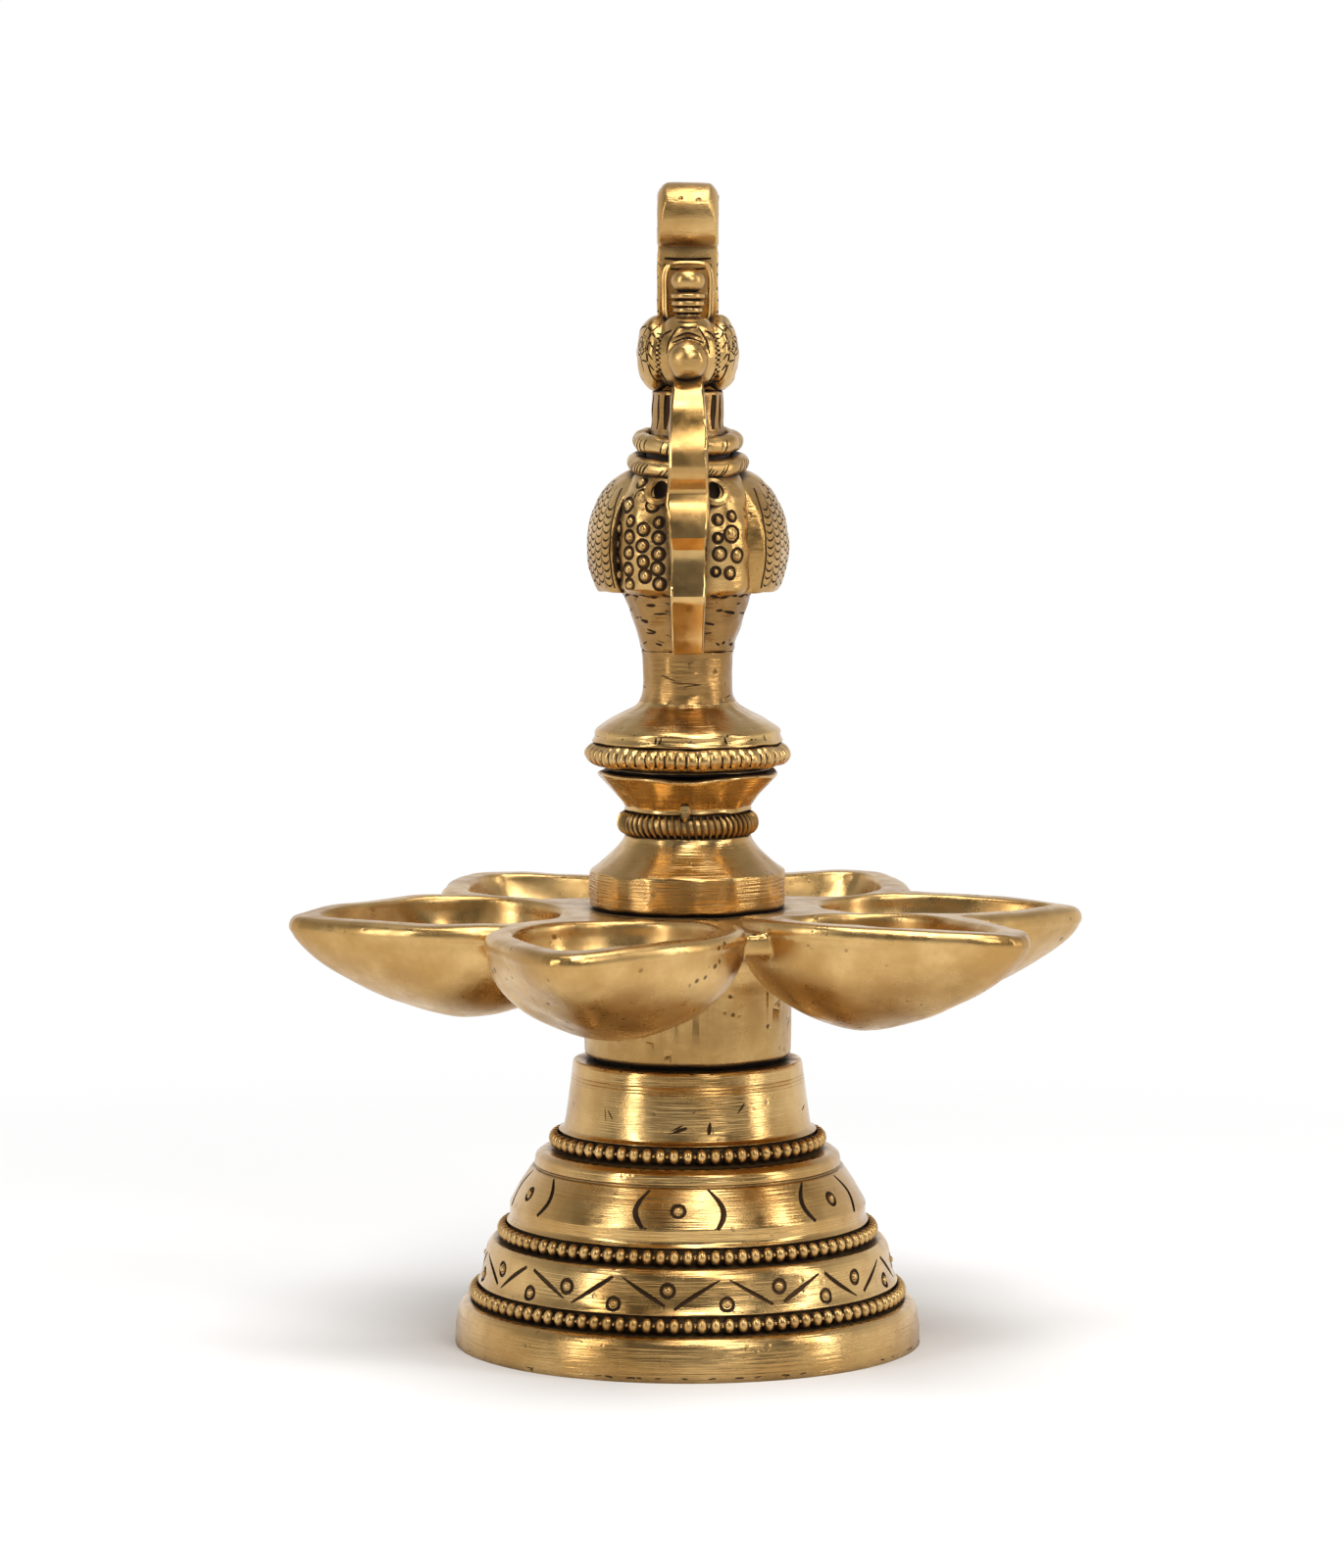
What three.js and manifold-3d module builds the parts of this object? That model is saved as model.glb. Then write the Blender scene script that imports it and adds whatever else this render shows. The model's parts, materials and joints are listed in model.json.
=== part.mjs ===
// Six-wick peacock oil lamp in cast brass. Millimetres, +Z up.
// The origin is the centre of the foot, on the surface that the lamp stands on, and the bird faces -Y.
// The lamp unscrews into four sections: base, oil tray, stem and peacock finial.

import * as THREE from 'three';
import { mergeVertices } from 'three/addons/utils/BufferGeometryUtils.js';
import Module from 'manifold-3d';

const wasm = await Module();
wasm.setup();

// Driving heights
const baseTop = 56.5;
const trayTop = 86.5;
const stemTop = 113.8;
const finialFootTop = 137.6;
const neckTop = 188.8;
const tailTop = 230;

// Packing washers between the sections
const trayWasherThickness = 1.2;
const thinWasherThickness = 0.5;
const trayBottom = baseTop + trayWasherThickness;
const stemBottom = trayTop + thinWasherThickness;
const finialBottom = stemTop + thinWasherThickness;

// Base
const footRadius = 46.2;
const footWall = 5;
const collarTopRadius = 22.8;
const collarBottomRadius = 24.2;
const beadPitch = 2.65;
const beadRingFit = 0.12;
const deckThickness = 5;
const bossRadius = 9;

// Threaded studs, drawn at the crest of the thread, and the holes that they turn in
const studRadius = 5;
const finialStudRadius = 4;
const threadClearance = 0.06;
const studEngagement = 12;
const trayStudSeat = 13;
const stemStudSeat = 10;
const finialStudSeat = 9;
const holeRunOut = 1;
const studSides = 16;

// Oil tray
// Direction of each bowl's nose and its distance from the axis. The bowls are a little uneven, as on the
// hand-finished casting.
const bowls = [
  { azimuth: 10, reach: 82.4 },
  { azimuth: 62, reach: 83 },
  { azimuth: 124, reach: 79.5 },
  { azimuth: 190, reach: 82.4 },
  { azimuth: 252, reach: 79.5 },
  { azimuth: 320, reach: 83 },
];
const bowlCentreRadius = 45;
const bowlHalfWidth = 22;
const hollowHalfWidth = 17.5;
const hollowCentreRadius = 44;
const noseLength = 9;
const bowlBottom = 66;
const hollowBottom = 69.6;
const rimBandHeight = 2.8;
const rimEdgeRound = 0.8;
const webRadius = 41;
const webThickness = 5.5;
const hubRadius = 20.4;

// Seats of the rope rings on the stem and the finial foot
const stemRingFloor = 11.7;
const finialRingFloor = 15.9;

// Peacock
const gap = 0.3;
const ringFit = 0.15;
const chestRadius = 13.6;
const wingHalfSpan = 20;
const wingBottom = 149.2;
const wingPlateWidth = 60;
const neckRadius = 7;
const ringTilt = THREE.MathUtils.degToRad(7);
const headCentre = new THREE.Vector3(0, -2, 196);
const beakBallRadius = 3.9;
const tailWidth = 12;
const rollRadius = 7.4;

// Sides of the round pieces, by size
const largeSides = 36;
const middleSides = 24;
const smallSides = 18;

const brass = { color: 0xb9935a, roughness: 0.34, metalness: 1 };
const agedBrass = { color: 0x9a7440, roughness: 0.48, metalness: 1 };
const leather = { color: 0x2a211c, roughness: 0.85, metalness: 0 };

// Turns a three.js geometry into a solid that can be joined and cut.
function solid(geometry) {
  const bare = geometry.clone();
  bare.deleteAttribute('normal');
  bare.deleteAttribute('uv');
  const merged = mergeVertices(bare, 1e-4);
  const index = merged.getIndex().array;
  const corners = [];
  for (let i = 0; i < index.length; i += 3) {
    const [a, b, c] = [index[i], index[i + 1], index[i + 2]];
    if (a !== b && b !== c && c !== a) {
      corners.push(a, b, c);
    }
  }
  const body = new wasm.Manifold(
    new wasm.Mesh({
      numProp: 3,
      vertProperties: new Float32Array(merged.getAttribute('position').array),
      triVerts: new Uint32Array(corners),
    }),
  );
  if (body.status() !== 'NoError') {
    throw new Error(`the surface isn't closed: ${body.status()}`);
  }
  return body;
}

function geometryOf(body) {
  const mesh = body.getMesh();
  const geometry = new THREE.BufferGeometry();
  const positions = new Float32Array(mesh.numVert * 3);
  for (let i = 0; i < mesh.numVert; i += 1) {
    for (let k = 0; k < 3; k += 1) {
      positions[3 * i + k] = mesh.vertProperties[mesh.numProp * i + k];
    }
  }
  geometry.setAttribute('position', new THREE.BufferAttribute(positions, 3));
  geometry.setIndex(new THREE.BufferAttribute(new Uint32Array(mesh.triVerts), 1));
  geometry.computeVertexNormals();
  return geometry;
}

// A turned piece: the profile is [radius, height] pairs in the order that closes it anticlockwise.
function turned(profile, sides) {
  const outline = profile.map(([radius, height]) => new THREE.Vector2(radius, height));
  outline.push(outline[0].clone());
  return solid(new THREE.LatheGeometry(outline, sides).rotateX(Math.PI / 2));
}

// A closed skin through rings of points, from the bottom ring to the top one, with a point at each end.
function skin(rings, bottomPoint, topPoint) {
  const sides = rings[0].length;
  const positions = [];
  const index = [];
  for (const ring of rings) {
    for (const point of ring) {
      positions.push(...point);
    }
  }
  positions.push(...bottomPoint, ...topPoint);
  const bottomIndex = rings.length * sides;
  const topIndex = bottomIndex + 1;
  const lastRing = (rings.length - 1) * sides;
  for (let i = 0; i < sides; i += 1) {
    const next = (i + 1) % sides;
    index.push(bottomIndex, next, i);
    index.push(topIndex, lastRing + i, lastRing + next);
    for (let ring = 0; ring + 1 < rings.length; ring += 1) {
      const low = ring * sides;
      const high = low + sides;
      index.push(low + i, low + next, high + next);
      index.push(low + i, high + next, high + i);
    }
  }
  const geometry = new THREE.BufferGeometry();
  geometry.setAttribute('position', new THREE.Float32BufferAttribute(positions, 3));
  geometry.setIndex(index);
  return solid(geometry);
}

// A closed ring of cross-sections: place(turn, step) gives the section's points, and turn runs from 0 to 1.
function closedRing(steps, place) {
  const positions = [];
  const index = [];
  let sides = 0;
  for (let step = 0; step < steps; step += 1) {
    const section = place(step / steps, step);
    sides = section.length;
    for (const point of section) {
      positions.push(...point);
    }
  }
  for (let step = 0; step < steps; step += 1) {
    const here = step * sides;
    const there = ((step + 1) % steps) * sides;
    for (let side = 0; side < sides; side += 1) {
      const next = (side + 1) % sides;
      index.push(here + side, there + side, there + next);
      index.push(here + side, there + next, here + next);
    }
  }
  const geometry = new THREE.BufferGeometry();
  geometry.setAttribute('position', new THREE.Float32BufferAttribute(positions, 3));
  geometry.setIndex(index);
  return solid(geometry);
}

// A flat outline in the bird's side view, given as [y, z], cut from a plate that is centred on X = 0.
function sidePlate(outline, width, widthAt = () => 1) {
  const shape = new THREE.Shape(outline.map(([y, z]) => new THREE.Vector2(y, z)));
  const plate = new THREE.ExtrudeGeometry(shape, { depth: width, bevelEnabled: false, steps: 1 });
  plate.translate(0, 0, -width / 2);
  const place = plate.getAttribute('position');
  for (let i = 0; i < place.count; i += 1) {
    const [y, z, x] = [place.getX(i), place.getY(i), place.getZ(i)];
    place.setXYZ(i, x * widthAt(z), y, z);
  }
  return solid(plate);
}

// The two sides of a strip of changing thickness along a curve in the side view.
function stripOutline(points, steps, thicknessAt) {
  const curve = new THREE.CatmullRomCurve3(points.map(([y, z]) => new THREE.Vector3(0, y, z)));
  const left = [];
  const right = [];
  for (let i = 0; i <= steps; i += 1) {
    const along = i / steps;
    const centre = curve.getPointAt(along);
    const tangent = curve.getTangentAt(along);
    const half = thicknessAt(along) / 2;
    left.push([centre.y - tangent.z * half, centre.z + tangent.y * half]);
    right.push([centre.y + tangent.z * half, centre.z - tangent.y * half]);
  }
  return left.concat(right.reverse());
}

function ellipsoid(centre, radii, around, rows) {
  const ball = new THREE.SphereGeometry(1, around, rows).rotateX(Math.PI / 2);
  return solid(ball.scale(...radii).translate(...centre));
}

function boxBetween(low, high) {
  const size = high.map((value, axis) => value - low[axis]);
  const centre = high.map((value, axis) => (value + low[axis]) / 2);
  return solid(new THREE.BoxGeometry(...size).translate(...centre));
}

const group = new THREE.Group();
group.name = 'peacock_oil_lamp';

function addPiece(name, body, finish) {
  const piece = new THREE.Mesh(geometryOf(body), new THREE.MeshStandardMaterial(finish));
  piece.name = name;
  group.add(piece);
}

// Each beaded wire lies in a turned groove: its middle height, outer radius and bead count
const beadRings = [
  { name: 'bead_ring_lower', height: 10.3, radius: 43.5 },
  { name: 'bead_ring_middle', height: 22.6, radius: 37.9 },
  { name: 'bead_ring_upper', height: 40.7, radius: 27.6 },
];
const beadRadius = 1.25;

// The wire's section is a point outwards and a flat against the groove, and swells at every bead
function beadRing({ height, radius }) {
  const middle = radius - beadRadius;
  const beads = Math.round((2 * Math.PI * middle) / beadPitch);
  const neck = 0.62 * beadRadius;
  return closedRing(beads * 2, (turn, step) => {
    const angle = turn * 2 * Math.PI;
    const size = step % 2 === 0 ? beadRadius : neck;
    const section = [[middle - size / 2, -size], [middle + size, 0], [middle - size / 2, size]];
    return section.map(([r, z]) => [r * Math.cos(angle), r * Math.sin(angle), height + z]);
  });
}

function basePedestal() {
  const [lower, middle, upper] = beadRings;
  const floorOf = (ring) => ring.radius - 2 * beadRadius - beadRingFit;
  const outside = [
    [footRadius, 0],
    [footRadius - 0.3, 7.4],
    [footRadius - 1, lower.height - beadRadius - 0.3],
    [floorOf(lower), lower.height - beadRadius - 0.3],
    [floorOf(lower), lower.height + beadRadius + 0.3],
    [41.3, 12.7],
    [40.7, 13.9],
    [39.9, 19],
    [38.6, middle.height - beadRadius - 0.3],
    [floorOf(middle), middle.height - beadRadius - 0.3],
    [floorOf(middle), middle.height + beadRadius + 0.3],
    [35.2, 25],
    [35.15, 28],
    [30.9, 35.2],
    [30, 35.8],
    [30, 38.1],
    [28.2, upper.height - beadRadius - 0.3],
    [floorOf(upper), upper.height - beadRadius - 0.3],
    [floorOf(upper), upper.height + beadRadius + 0.3],
    [collarBottomRadius, 43.4],
    [collarTopRadius, baseTop - 0.4],
    [collarTopRadius - 0.4, baseTop],
  ];
  const boreRadius = studRadius + threadClearance;
  const inside = [
    [boreRadius, baseTop],
    [boreRadius, baseTop - studEngagement - 2],
    [bossRadius, baseTop - studEngagement - 2],
    [bossRadius + 0.8, baseTop - deckThickness],
    [collarTopRadius - 4.8, baseTop - deckThickness - 1],
    [25.5, 36],
    [34.6, 18.5],
    [footRadius - footWall, 4],
    [footRadius - footWall, 0],
  ];
  return turned(outside.concat(inside), largeSides);
}

function washer(bottom, outer, inner, thickness) {
  const profile = [
    [inner, bottom],
    [outer, bottom],
    [outer, bottom + thickness],
    [inner, bottom + thickness],
  ];
  return turned(profile, smallSides);
}

// A stud with the chamfered ends that start its thread
function stud(radius, bottom, top) {
  const lead = 1;
  const profile = [
    [0, bottom],
    [radius - lead, bottom],
    [radius, bottom + lead],
    [radius, top - lead],
    [radius - lead, top],
    [0, top],
  ];
  return turned(profile, studSides);
}

function boreFor(radius, bottom, top) {
  const fit = (radius + threadClearance) / Math.cos(Math.PI / studSides);
  return turned([[0, bottom], [fit, bottom], [fit, top], [0, top]], studSides);
}

// Distance from a bowl's centre to its leaf-shaped edge: a round inner end and two straight sides
// that meet in a blunt nose.
function leafRadius(angle, halfWidth, reach) {
  const tangent = Math.acos(halfWidth / reach);
  const turn = Math.abs(angle);
  if (turn >= tangent) {
    return halfWidth;
  }
  const belly = 1 + 0.035 * Math.sin((Math.PI * turn) / tangent);
  return (belly * halfWidth) / Math.cos(turn - tangent);
}

const leafHalfAngles = [3.5, 14, 29, 48, 68, 92, 120, 150];
const leafAngles = [...leafHalfAngles, 180, ...leafHalfAngles.map((angle) => -angle).reverse()]
  .map((angle) => THREE.MathUtils.degToRad(angle));

// One level of a leaf-shaped bowl, at a part of its full width, lying along +X
function leafRing(centre, halfWidth, reach, part, height) {
  return leafAngles.map((angle) => {
    const radius = part * leafRadius(angle, halfWidth, reach - centre);
    return [centre + radius * Math.cos(angle), radius * Math.sin(angle), height(angle)];
  });
}

// Height above the bowl's bottom: round across, and nearly straight up to the nose
function bowlRise(part, angle) {
  const power = 2.35 - 0.85 * Math.max(0, Math.cos(angle)) ** 2;
  return part ** power;
}

function bowlOutside(bowlReach) {
  const crease = trayTop - rimBandHeight;
  const rings = [0.3, 0.6, 0.83, 1].map((part) =>
    leafRing(bowlCentreRadius, bowlHalfWidth, bowlReach, part, (angle) =>
      bowlBottom + (crease - bowlBottom) * bowlRise(part, angle)));
  rings.push(leafRing(bowlCentreRadius, bowlHalfWidth, bowlReach, 1, () => trayTop - rimEdgeRound));
  const inset = 1 - rimEdgeRound / bowlHalfWidth;
  rings.push(leafRing(bowlCentreRadius, bowlHalfWidth, bowlReach, inset, () => trayTop));
  return skin(rings, [bowlCentreRadius, 0, bowlBottom], [bowlCentreRadius, 0, trayTop]);
}

function bowlHollow(bowlReach) {
  const hollowReach = bowlReach - noseLength;
  const aboveTray = trayTop + 5;
  const rings = [0.36, 0.7, 1].map((part) =>
    leafRing(hollowCentreRadius, hollowHalfWidth, hollowReach, part, (angle) =>
      hollowBottom + (trayTop - hollowBottom) * bowlRise(part, angle)));
  rings.push(leafRing(hollowCentreRadius, hollowHalfWidth, hollowReach, 1, () => aboveTray));
  return skin(rings, [hollowCentreRadius, 0, hollowBottom], [hollowCentreRadius, 0, aboveTray]);
}

function oilTray() {
  const web = turned([
    [0, trayTop - webThickness],
    [webRadius, trayTop - webThickness],
    [webRadius, trayTop],
    [0, trayTop],
  ], largeSides);
  const hub = turned([
    [0, trayBottom],
    [hubRadius - 0.9, trayBottom],
    [hubRadius - 0.2, trayBottom + 0.8],
    [hubRadius, trayBottom + 3],
    [hubRadius + 0.3, trayTop - webThickness - 6],
    [hubRadius + 4, trayTop - webThickness],
    [hubRadius + 4, trayTop - 1],
    [0, trayTop - 1],
  ], middleSides);
  let tray = web.add(hub);
  for (const { azimuth, reach } of bowls) {
    tray = tray.add(bowlOutside(reach).rotate([0, 0, azimuth]));
  }
  for (const { azimuth, reach } of bowls) {
    tray = tray.subtract(bowlHollow(reach).rotate([0, 0, azimuth]));
  }
  return tray.subtract(boreFor(studRadius, trayBottom - 1, trayTop + 1));
}

function stem() {
  const outside = turned([
    [0, stemBottom],
    [18.9, stemBottom],
    [19.3, stemBottom + 0.5],
    [19.5, 93.1],
    [19.2, 94],
    [17.4, 95.2],
    [14.5, 97.5],
    [12.9, 99.8],
    [12, 101],
    [stemRingFloor, 101.6],
    [stemRingFloor, 106],
    [12, 107],
    [17.9, stemTop - 0.6],
    [17.6, stemTop],
    [0, stemTop],
  ], middleSides);
  const lowerBore = boreFor(studRadius, stemBottom - 1, stemBottom + stemStudSeat + holeRunOut);
  const upperBore = boreFor(finialStudRadius, stemTop - studEngagement, stemTop + 1);
  return outside.subtract(lowerBore).subtract(upperBore);
}

// A ring of twisted wire round a turned neck. The twist shows as slanting strands, so the section swells
// and shrinks as it goes round, and its inner side is flattened against the neck.
function ropeRing({ radius, wire, height, strands, neckAt, tilt = 0 }) {
  const sides = 5;
  const stepsPerStrand = 2;
  const middle = radius - wire;
  return closedRing(strands * stepsPerStrand, (turn, step) => {
    const angle = turn * 2 * Math.PI;
    const section = [];
    for (let side = 0; side < sides; side += 1) {
      const around = ((side + 0.5) / sides) * 2 * Math.PI;
      const swell = (step + (side > 2 ? 1 : 0)) % stepsPerStrand === 0 ? 1 : 0.9;
      const shear = (middle + wire * swell * Math.cos(around)) * Math.sin(angle) * Math.tan(tilt);
      const z = height + wire * swell * Math.sin(around) + shear;
      const r = Math.max(middle + wire * swell * Math.cos(around), neckAt(z) + ringFit);
      section.push([r * Math.cos(angle), r * Math.sin(angle), z]);
    }
    return section;
  });
}

function finialFoot() {
  const outside = turned([
    [0, finialBottom],
    [finialRingFloor + 0.6, finialBottom],
    [finialRingFloor, finialBottom + 0.7],
    [finialRingFloor, 119.6],
    [19.1, 119.7],
    [18.5, 120.8],
    [18, 122],
    [14.7, 124.3],
    [10, 126.6],
    [8.9, 128],
    [8.8, 133],
    [8.8, finialFootTop],
    [0, finialFootTop],
  ], middleSides);
  return outside.subtract(boreFor(finialStudRadius, finialBottom - 1, finialBottom + finialStudSeat + holeRunOut));
}

// Chest and neck, as radius and height
const chestProfile = [
  [9.2, finialFootTop],
  [9.4, 139],
  [10.6, 143],
  [12.2, 147.6],
  [chestRadius - 0.5, 151],
  [chestRadius, 157],
  [chestRadius - 0.3, 163],
  [chestRadius - 1.6, 168.5],
  [9.9, 172.6],
  [8.3, 175],
  [neckRadius + 0.4, 179],
  [neckRadius, 183],
];

// The bird's body: a vase-shaped chest that narrows to the neck, with a swelling back behind it.
// The grow value makes it larger all round, to leave a gap for the pieces that lie against it.
function birdBody(grow = 0) {
  const bottom = finialFootTop - grow;
  const top = neckTop + grow;
  const wall = chestProfile.map(([radius, height]) => [radius + grow, height]);
  const profile = [[0, bottom], [wall[0][0], bottom], ...wall.slice(1), [neckRadius + grow, top], [0, top]];
  const back = ellipsoid([0, 8, 159.5], [11.5 + grow, 13 + grow, 11 + grow], 18, 10);
  return turned(profile, smallSides).add(back);
}

// The radius of the chest and neck at a height
function chestRadiusAt(height) {
  const above = chestProfile.findIndex((point) => point[1] > height);
  if (above < 0) {
    return neckRadius;
  }
  const [[lowRadius, low], [highRadius, high]] = chestProfile.slice(above - 1, above + 1);
  return THREE.MathUtils.mapLinear(height, low, high, lowRadius, highRadius);
}

// A folded wing: a rounded shell cut off flat below and drawn to a point at the tail
function wing(side) {
  const outline = new THREE.Shape();
  outline.moveTo(-9, wingBottom);
  outline.lineTo(15, wingBottom);
  outline.quadraticCurveTo(21, 151.5, 26, 157);
  outline.quadraticCurveTo(17, 168, 6, 175);
  outline.quadraticCurveTo(-7, 174, -10.5, 163);
  outline.quadraticCurveTo(-12, 155, -9, wingBottom);
  const points = outline.getPoints(2).map((point) => [point.x, point.y]);
  points.pop();
  const shell = ellipsoid([side * 8.5, 6, 158], [wingHalfSpan - 8.5, 18, 15.5], 18, 10);
  const inside = tailWidth / 2 + gap;
  const sideSpace = boxBetween([inside, -30, 140], [30, 40, 180]);
  const ownSide = side > 0 ? sideSpace : sideSpace.mirror([1, 0, 0]);
  return shell.intersect(sidePlate(points, wingPlateWidth)).intersect(ownSide).subtract(birdBody(gap));
}

function birdHead(grow = 0) {
  const skull = ellipsoid(headCentre.toArray(), [8.3 + grow, 9.2 + grow, 7.2 + grow], 12, 7);
  const beakBall = ellipsoid([0, -11.3, 194.8], Array(3).fill(beakBallRadius + grow), 10, 6);
  const brow = ellipsoid([0, -5, 200.3], [5.2 + grow, 5.5 + grow, 3.4 + grow], 10, 6);
  let head = skull.add(beakBall).add(brow);
  for (const side of [-1, 1]) {
    const cheek = ellipsoid([side * 6.2, -1.2, 196], [3.8 + grow, 7 + grow, 7.4 + grow], 10, 7);
    head = head.add(cheek);
  }
  return head.intersect(boxBetween([-20, -30, neckTop], [20, 30, 215]));
}

// The crest: stepped tiers, a ball, and a thin hoop round it
function crest() {
  const centreY = -4.2;
  const ballHeight = 210.3;
  const tiers = turned([
    [0, 200.5],
    [4.1, 200.5],
    [3.9, 202.2],
    [3.2, 202.6],
    [3.2, 204.2],
    [2.5, 204.6],
    [2.5, 206.2],
    [1.8, 206.6],
    [1.8, 207.8],
    [0, 207.8],
  ], 12).translate([0, centreY, 0]);
  const ball = ellipsoid([0, centreY, ballHeight], [3.1, 3.1, 3], 10, 6);
  const hoopPath = new THREE.CatmullRomCurve3([
    [-2.2, 204.2],
    [-4.1, 206],
    [-4.3, 210],
    [-3.3, 213],
    [0, 213.9],
    [3.3, 213],
    [4.3, 210],
    [4.1, 206],
    [2.2, 204.2],
  ].map(([x, z]) => new THREE.Vector3(x, centreY + 1.6, z)));
  const section = new THREE.Shape();
  section.absarc(0, 0, 0.65, 0, 2 * Math.PI);
  const hoop = new THREE.ExtrudeGeometry(section, { steps: 12, extrudePath: hoopPath, curveSegments: 3 });
  return tiers.add(ball).add(solid(hoop)).subtract(birdHead(gap));
}

// The tail: a broad strip that sweeps up behind the bird and rolls forward over its head
function tailPlume() {
  const rollCentre = [1.5, tailTop - rollRadius];
  const midRadius = rollRadius - 1.9;
  const roll = [];
  for (let degrees = -10; degrees <= 300; degrees += 31) {
    const angle = THREE.MathUtils.degToRad(degrees);
    const radius = midRadius * (1 - 0.42 * Math.max(0, (degrees - 150) / 150));
    roll.push([rollCentre[0] + radius * Math.cos(angle), rollCentre[1] + radius * Math.sin(angle)]);
  }
  const rise = [
    [15, 157],
    [20.5, 164.5],
    [21, 175],
    [16, 188],
    [10.5, 201],
    [7.4, 213],
  ];
  const outline = stripOutline(rise.concat(roll), 32, (along) => 9.5 - 6 * Math.min(1, along * 1.9));
  return sidePlate(outline, tailWidth).subtract(birdBody(gap));
}

// The garland that hangs from the beak: a bowed strip, then two scalloped drops down to the stem
function beakGarland() {
  const front = [
    [-10.2, 192],
    [-14.2, 189.4],
    [-17.2, 185.5],
    [-18.7, 181],
    [-18.6, 176.5],
    [-17.3, 172.5],
    [-15.6, 169.3],
    [-17.2, 167],
    [-19, 164],
    [-19.3, 160.6],
    [-17.4, 158.2],
    [-17.2, 155],
    [-18, 151.4],
    [-18.8, 149.2],
    [-18.2, 147.4],
    [-15.6, 143.8],
    [-14.4, 140.6],
    [-12.6, 137.4],
  ];
  const back = [
    [-8.6, 138.2],
    [-9.5, 143],
    [-11, 148],
    [-12.4, 155],
    [-12.4, 163],
    [-11.6, 168.5],
    [-12.6, 172],
    [-14.6, 176.5],
    [-14.8, 180.6],
    [-13.4, 184.4],
    [-11, 187.2],
    [-8.4, 189],
  ];
  const fullWidth = 8;
  const widthAt = (height) => {
    if (height > 178) {
      return THREE.MathUtils.lerp(0.95, 0.55, (height - 178) / 14);
    }
    return THREE.MathUtils.lerp(0.78, 0.97, Math.min(1, (height - 137) / 25));
  };
  const strip = sidePlate(front.concat(back), fullWidth, widthAt);
  return strip.subtract(birdBody(gap)).subtract(birdHead(gap));
}

addPiece('base_pedestal', basePedestal(), brass);
for (const ring of beadRings) {
  addPiece(ring.name, beadRing(ring), agedBrass);
}

const washerBore = studRadius + 0.4;
addPiece('tray_washer', washer(baseTop, 19, washerBore, trayWasherThickness), leather);
addPiece('tray_stud', stud(studRadius, baseTop - studEngagement, trayBottom + trayStudSeat), agedBrass);
addPiece('oil_tray', oilTray(), brass);

addPiece('stem_washer', washer(trayTop, 18.4, washerBore, thinWasherThickness), leather);
addPiece('stem_stud', stud(studRadius, trayTop - studEngagement, stemBottom + stemStudSeat), agedBrass);
addPiece('stem', stem(), brass);
addPiece('stem_rope_ring', ropeRing({
  radius: 13.85,
  wire: 1.9,
  height: 103.7,
  strands: 24,
  neckAt: () => stemRingFloor,
}), agedBrass);

addPiece('finial_washer', washer(stemTop, 15.9, finialStudRadius + 0.4, thinWasherThickness), leather);
addPiece('finial_stud', stud(
  finialStudRadius,
  stemTop - studEngagement + holeRunOut,
  finialBottom + finialStudSeat,
), agedBrass);
addPiece('finial_foot', finialFoot(), brass);
addPiece('finial_rope_ring', ropeRing({
  radius: 20.4,
  wire: 2.35,
  height: 117.1,
  strands: 28,
  neckAt: () => finialRingFloor,
}), agedBrass);

addPiece('peacock_body', birdBody(), brass);
addPiece('left_wing', wing(1), brass);
addPiece('right_wing', wing(-1), brass);
addPiece('lower_neck_ring', ropeRing({
  radius: 11.8,
  wire: 1.85,
  height: 174.7,
  strands: 22,
  neckAt: chestRadiusAt,
  tilt: ringTilt,
}), agedBrass);
addPiece('upper_neck_ring', ropeRing({
  radius: 10.8,
  wire: 1.85,
  height: 178.9,
  strands: 20,
  neckAt: chestRadiusAt,
  tilt: ringTilt,
}), agedBrass);
addPiece('peacock_head', birdHead(), brass);
addPiece('crest', crest(), agedBrass);
addPiece('tail_plume', tailPlume(), brass);
addPiece('beak_garland', beakGarland(), brass);

export default group;
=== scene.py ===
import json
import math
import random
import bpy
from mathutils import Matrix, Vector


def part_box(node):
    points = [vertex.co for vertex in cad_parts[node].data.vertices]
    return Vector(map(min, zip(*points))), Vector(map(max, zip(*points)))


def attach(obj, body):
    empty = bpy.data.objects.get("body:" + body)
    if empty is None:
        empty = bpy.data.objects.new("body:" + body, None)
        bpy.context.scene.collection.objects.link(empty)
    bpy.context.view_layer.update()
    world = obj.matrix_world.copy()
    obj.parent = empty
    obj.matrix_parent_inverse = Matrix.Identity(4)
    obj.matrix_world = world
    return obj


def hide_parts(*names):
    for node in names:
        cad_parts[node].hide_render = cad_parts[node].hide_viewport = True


bl_info = {
    "name": "Peacock oil lamp",
    "version": (1, 0, 0),
    "blender": (4, 5, 0),
    "location": "View3D > Sidebar > Oil lamp",
    "description": "Builds the aged brass finish, ornament and studio of a peacock oil lamp",
    "category": "Add Mesh",
}

import bpy
from bpy.props import FloatProperty, FloatVectorProperty, IntProperty, PointerProperty
from mathutils import Matrix, Vector
from mathutils import noise as noise_field

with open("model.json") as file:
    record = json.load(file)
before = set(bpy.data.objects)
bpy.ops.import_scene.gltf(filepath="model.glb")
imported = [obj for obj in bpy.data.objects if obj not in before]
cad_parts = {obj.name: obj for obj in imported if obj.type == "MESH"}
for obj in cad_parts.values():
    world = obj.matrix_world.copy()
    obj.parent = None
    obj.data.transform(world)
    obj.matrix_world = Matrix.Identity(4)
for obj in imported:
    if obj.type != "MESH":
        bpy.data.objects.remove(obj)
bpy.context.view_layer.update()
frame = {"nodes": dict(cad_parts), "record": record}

MM = 0.001


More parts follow.
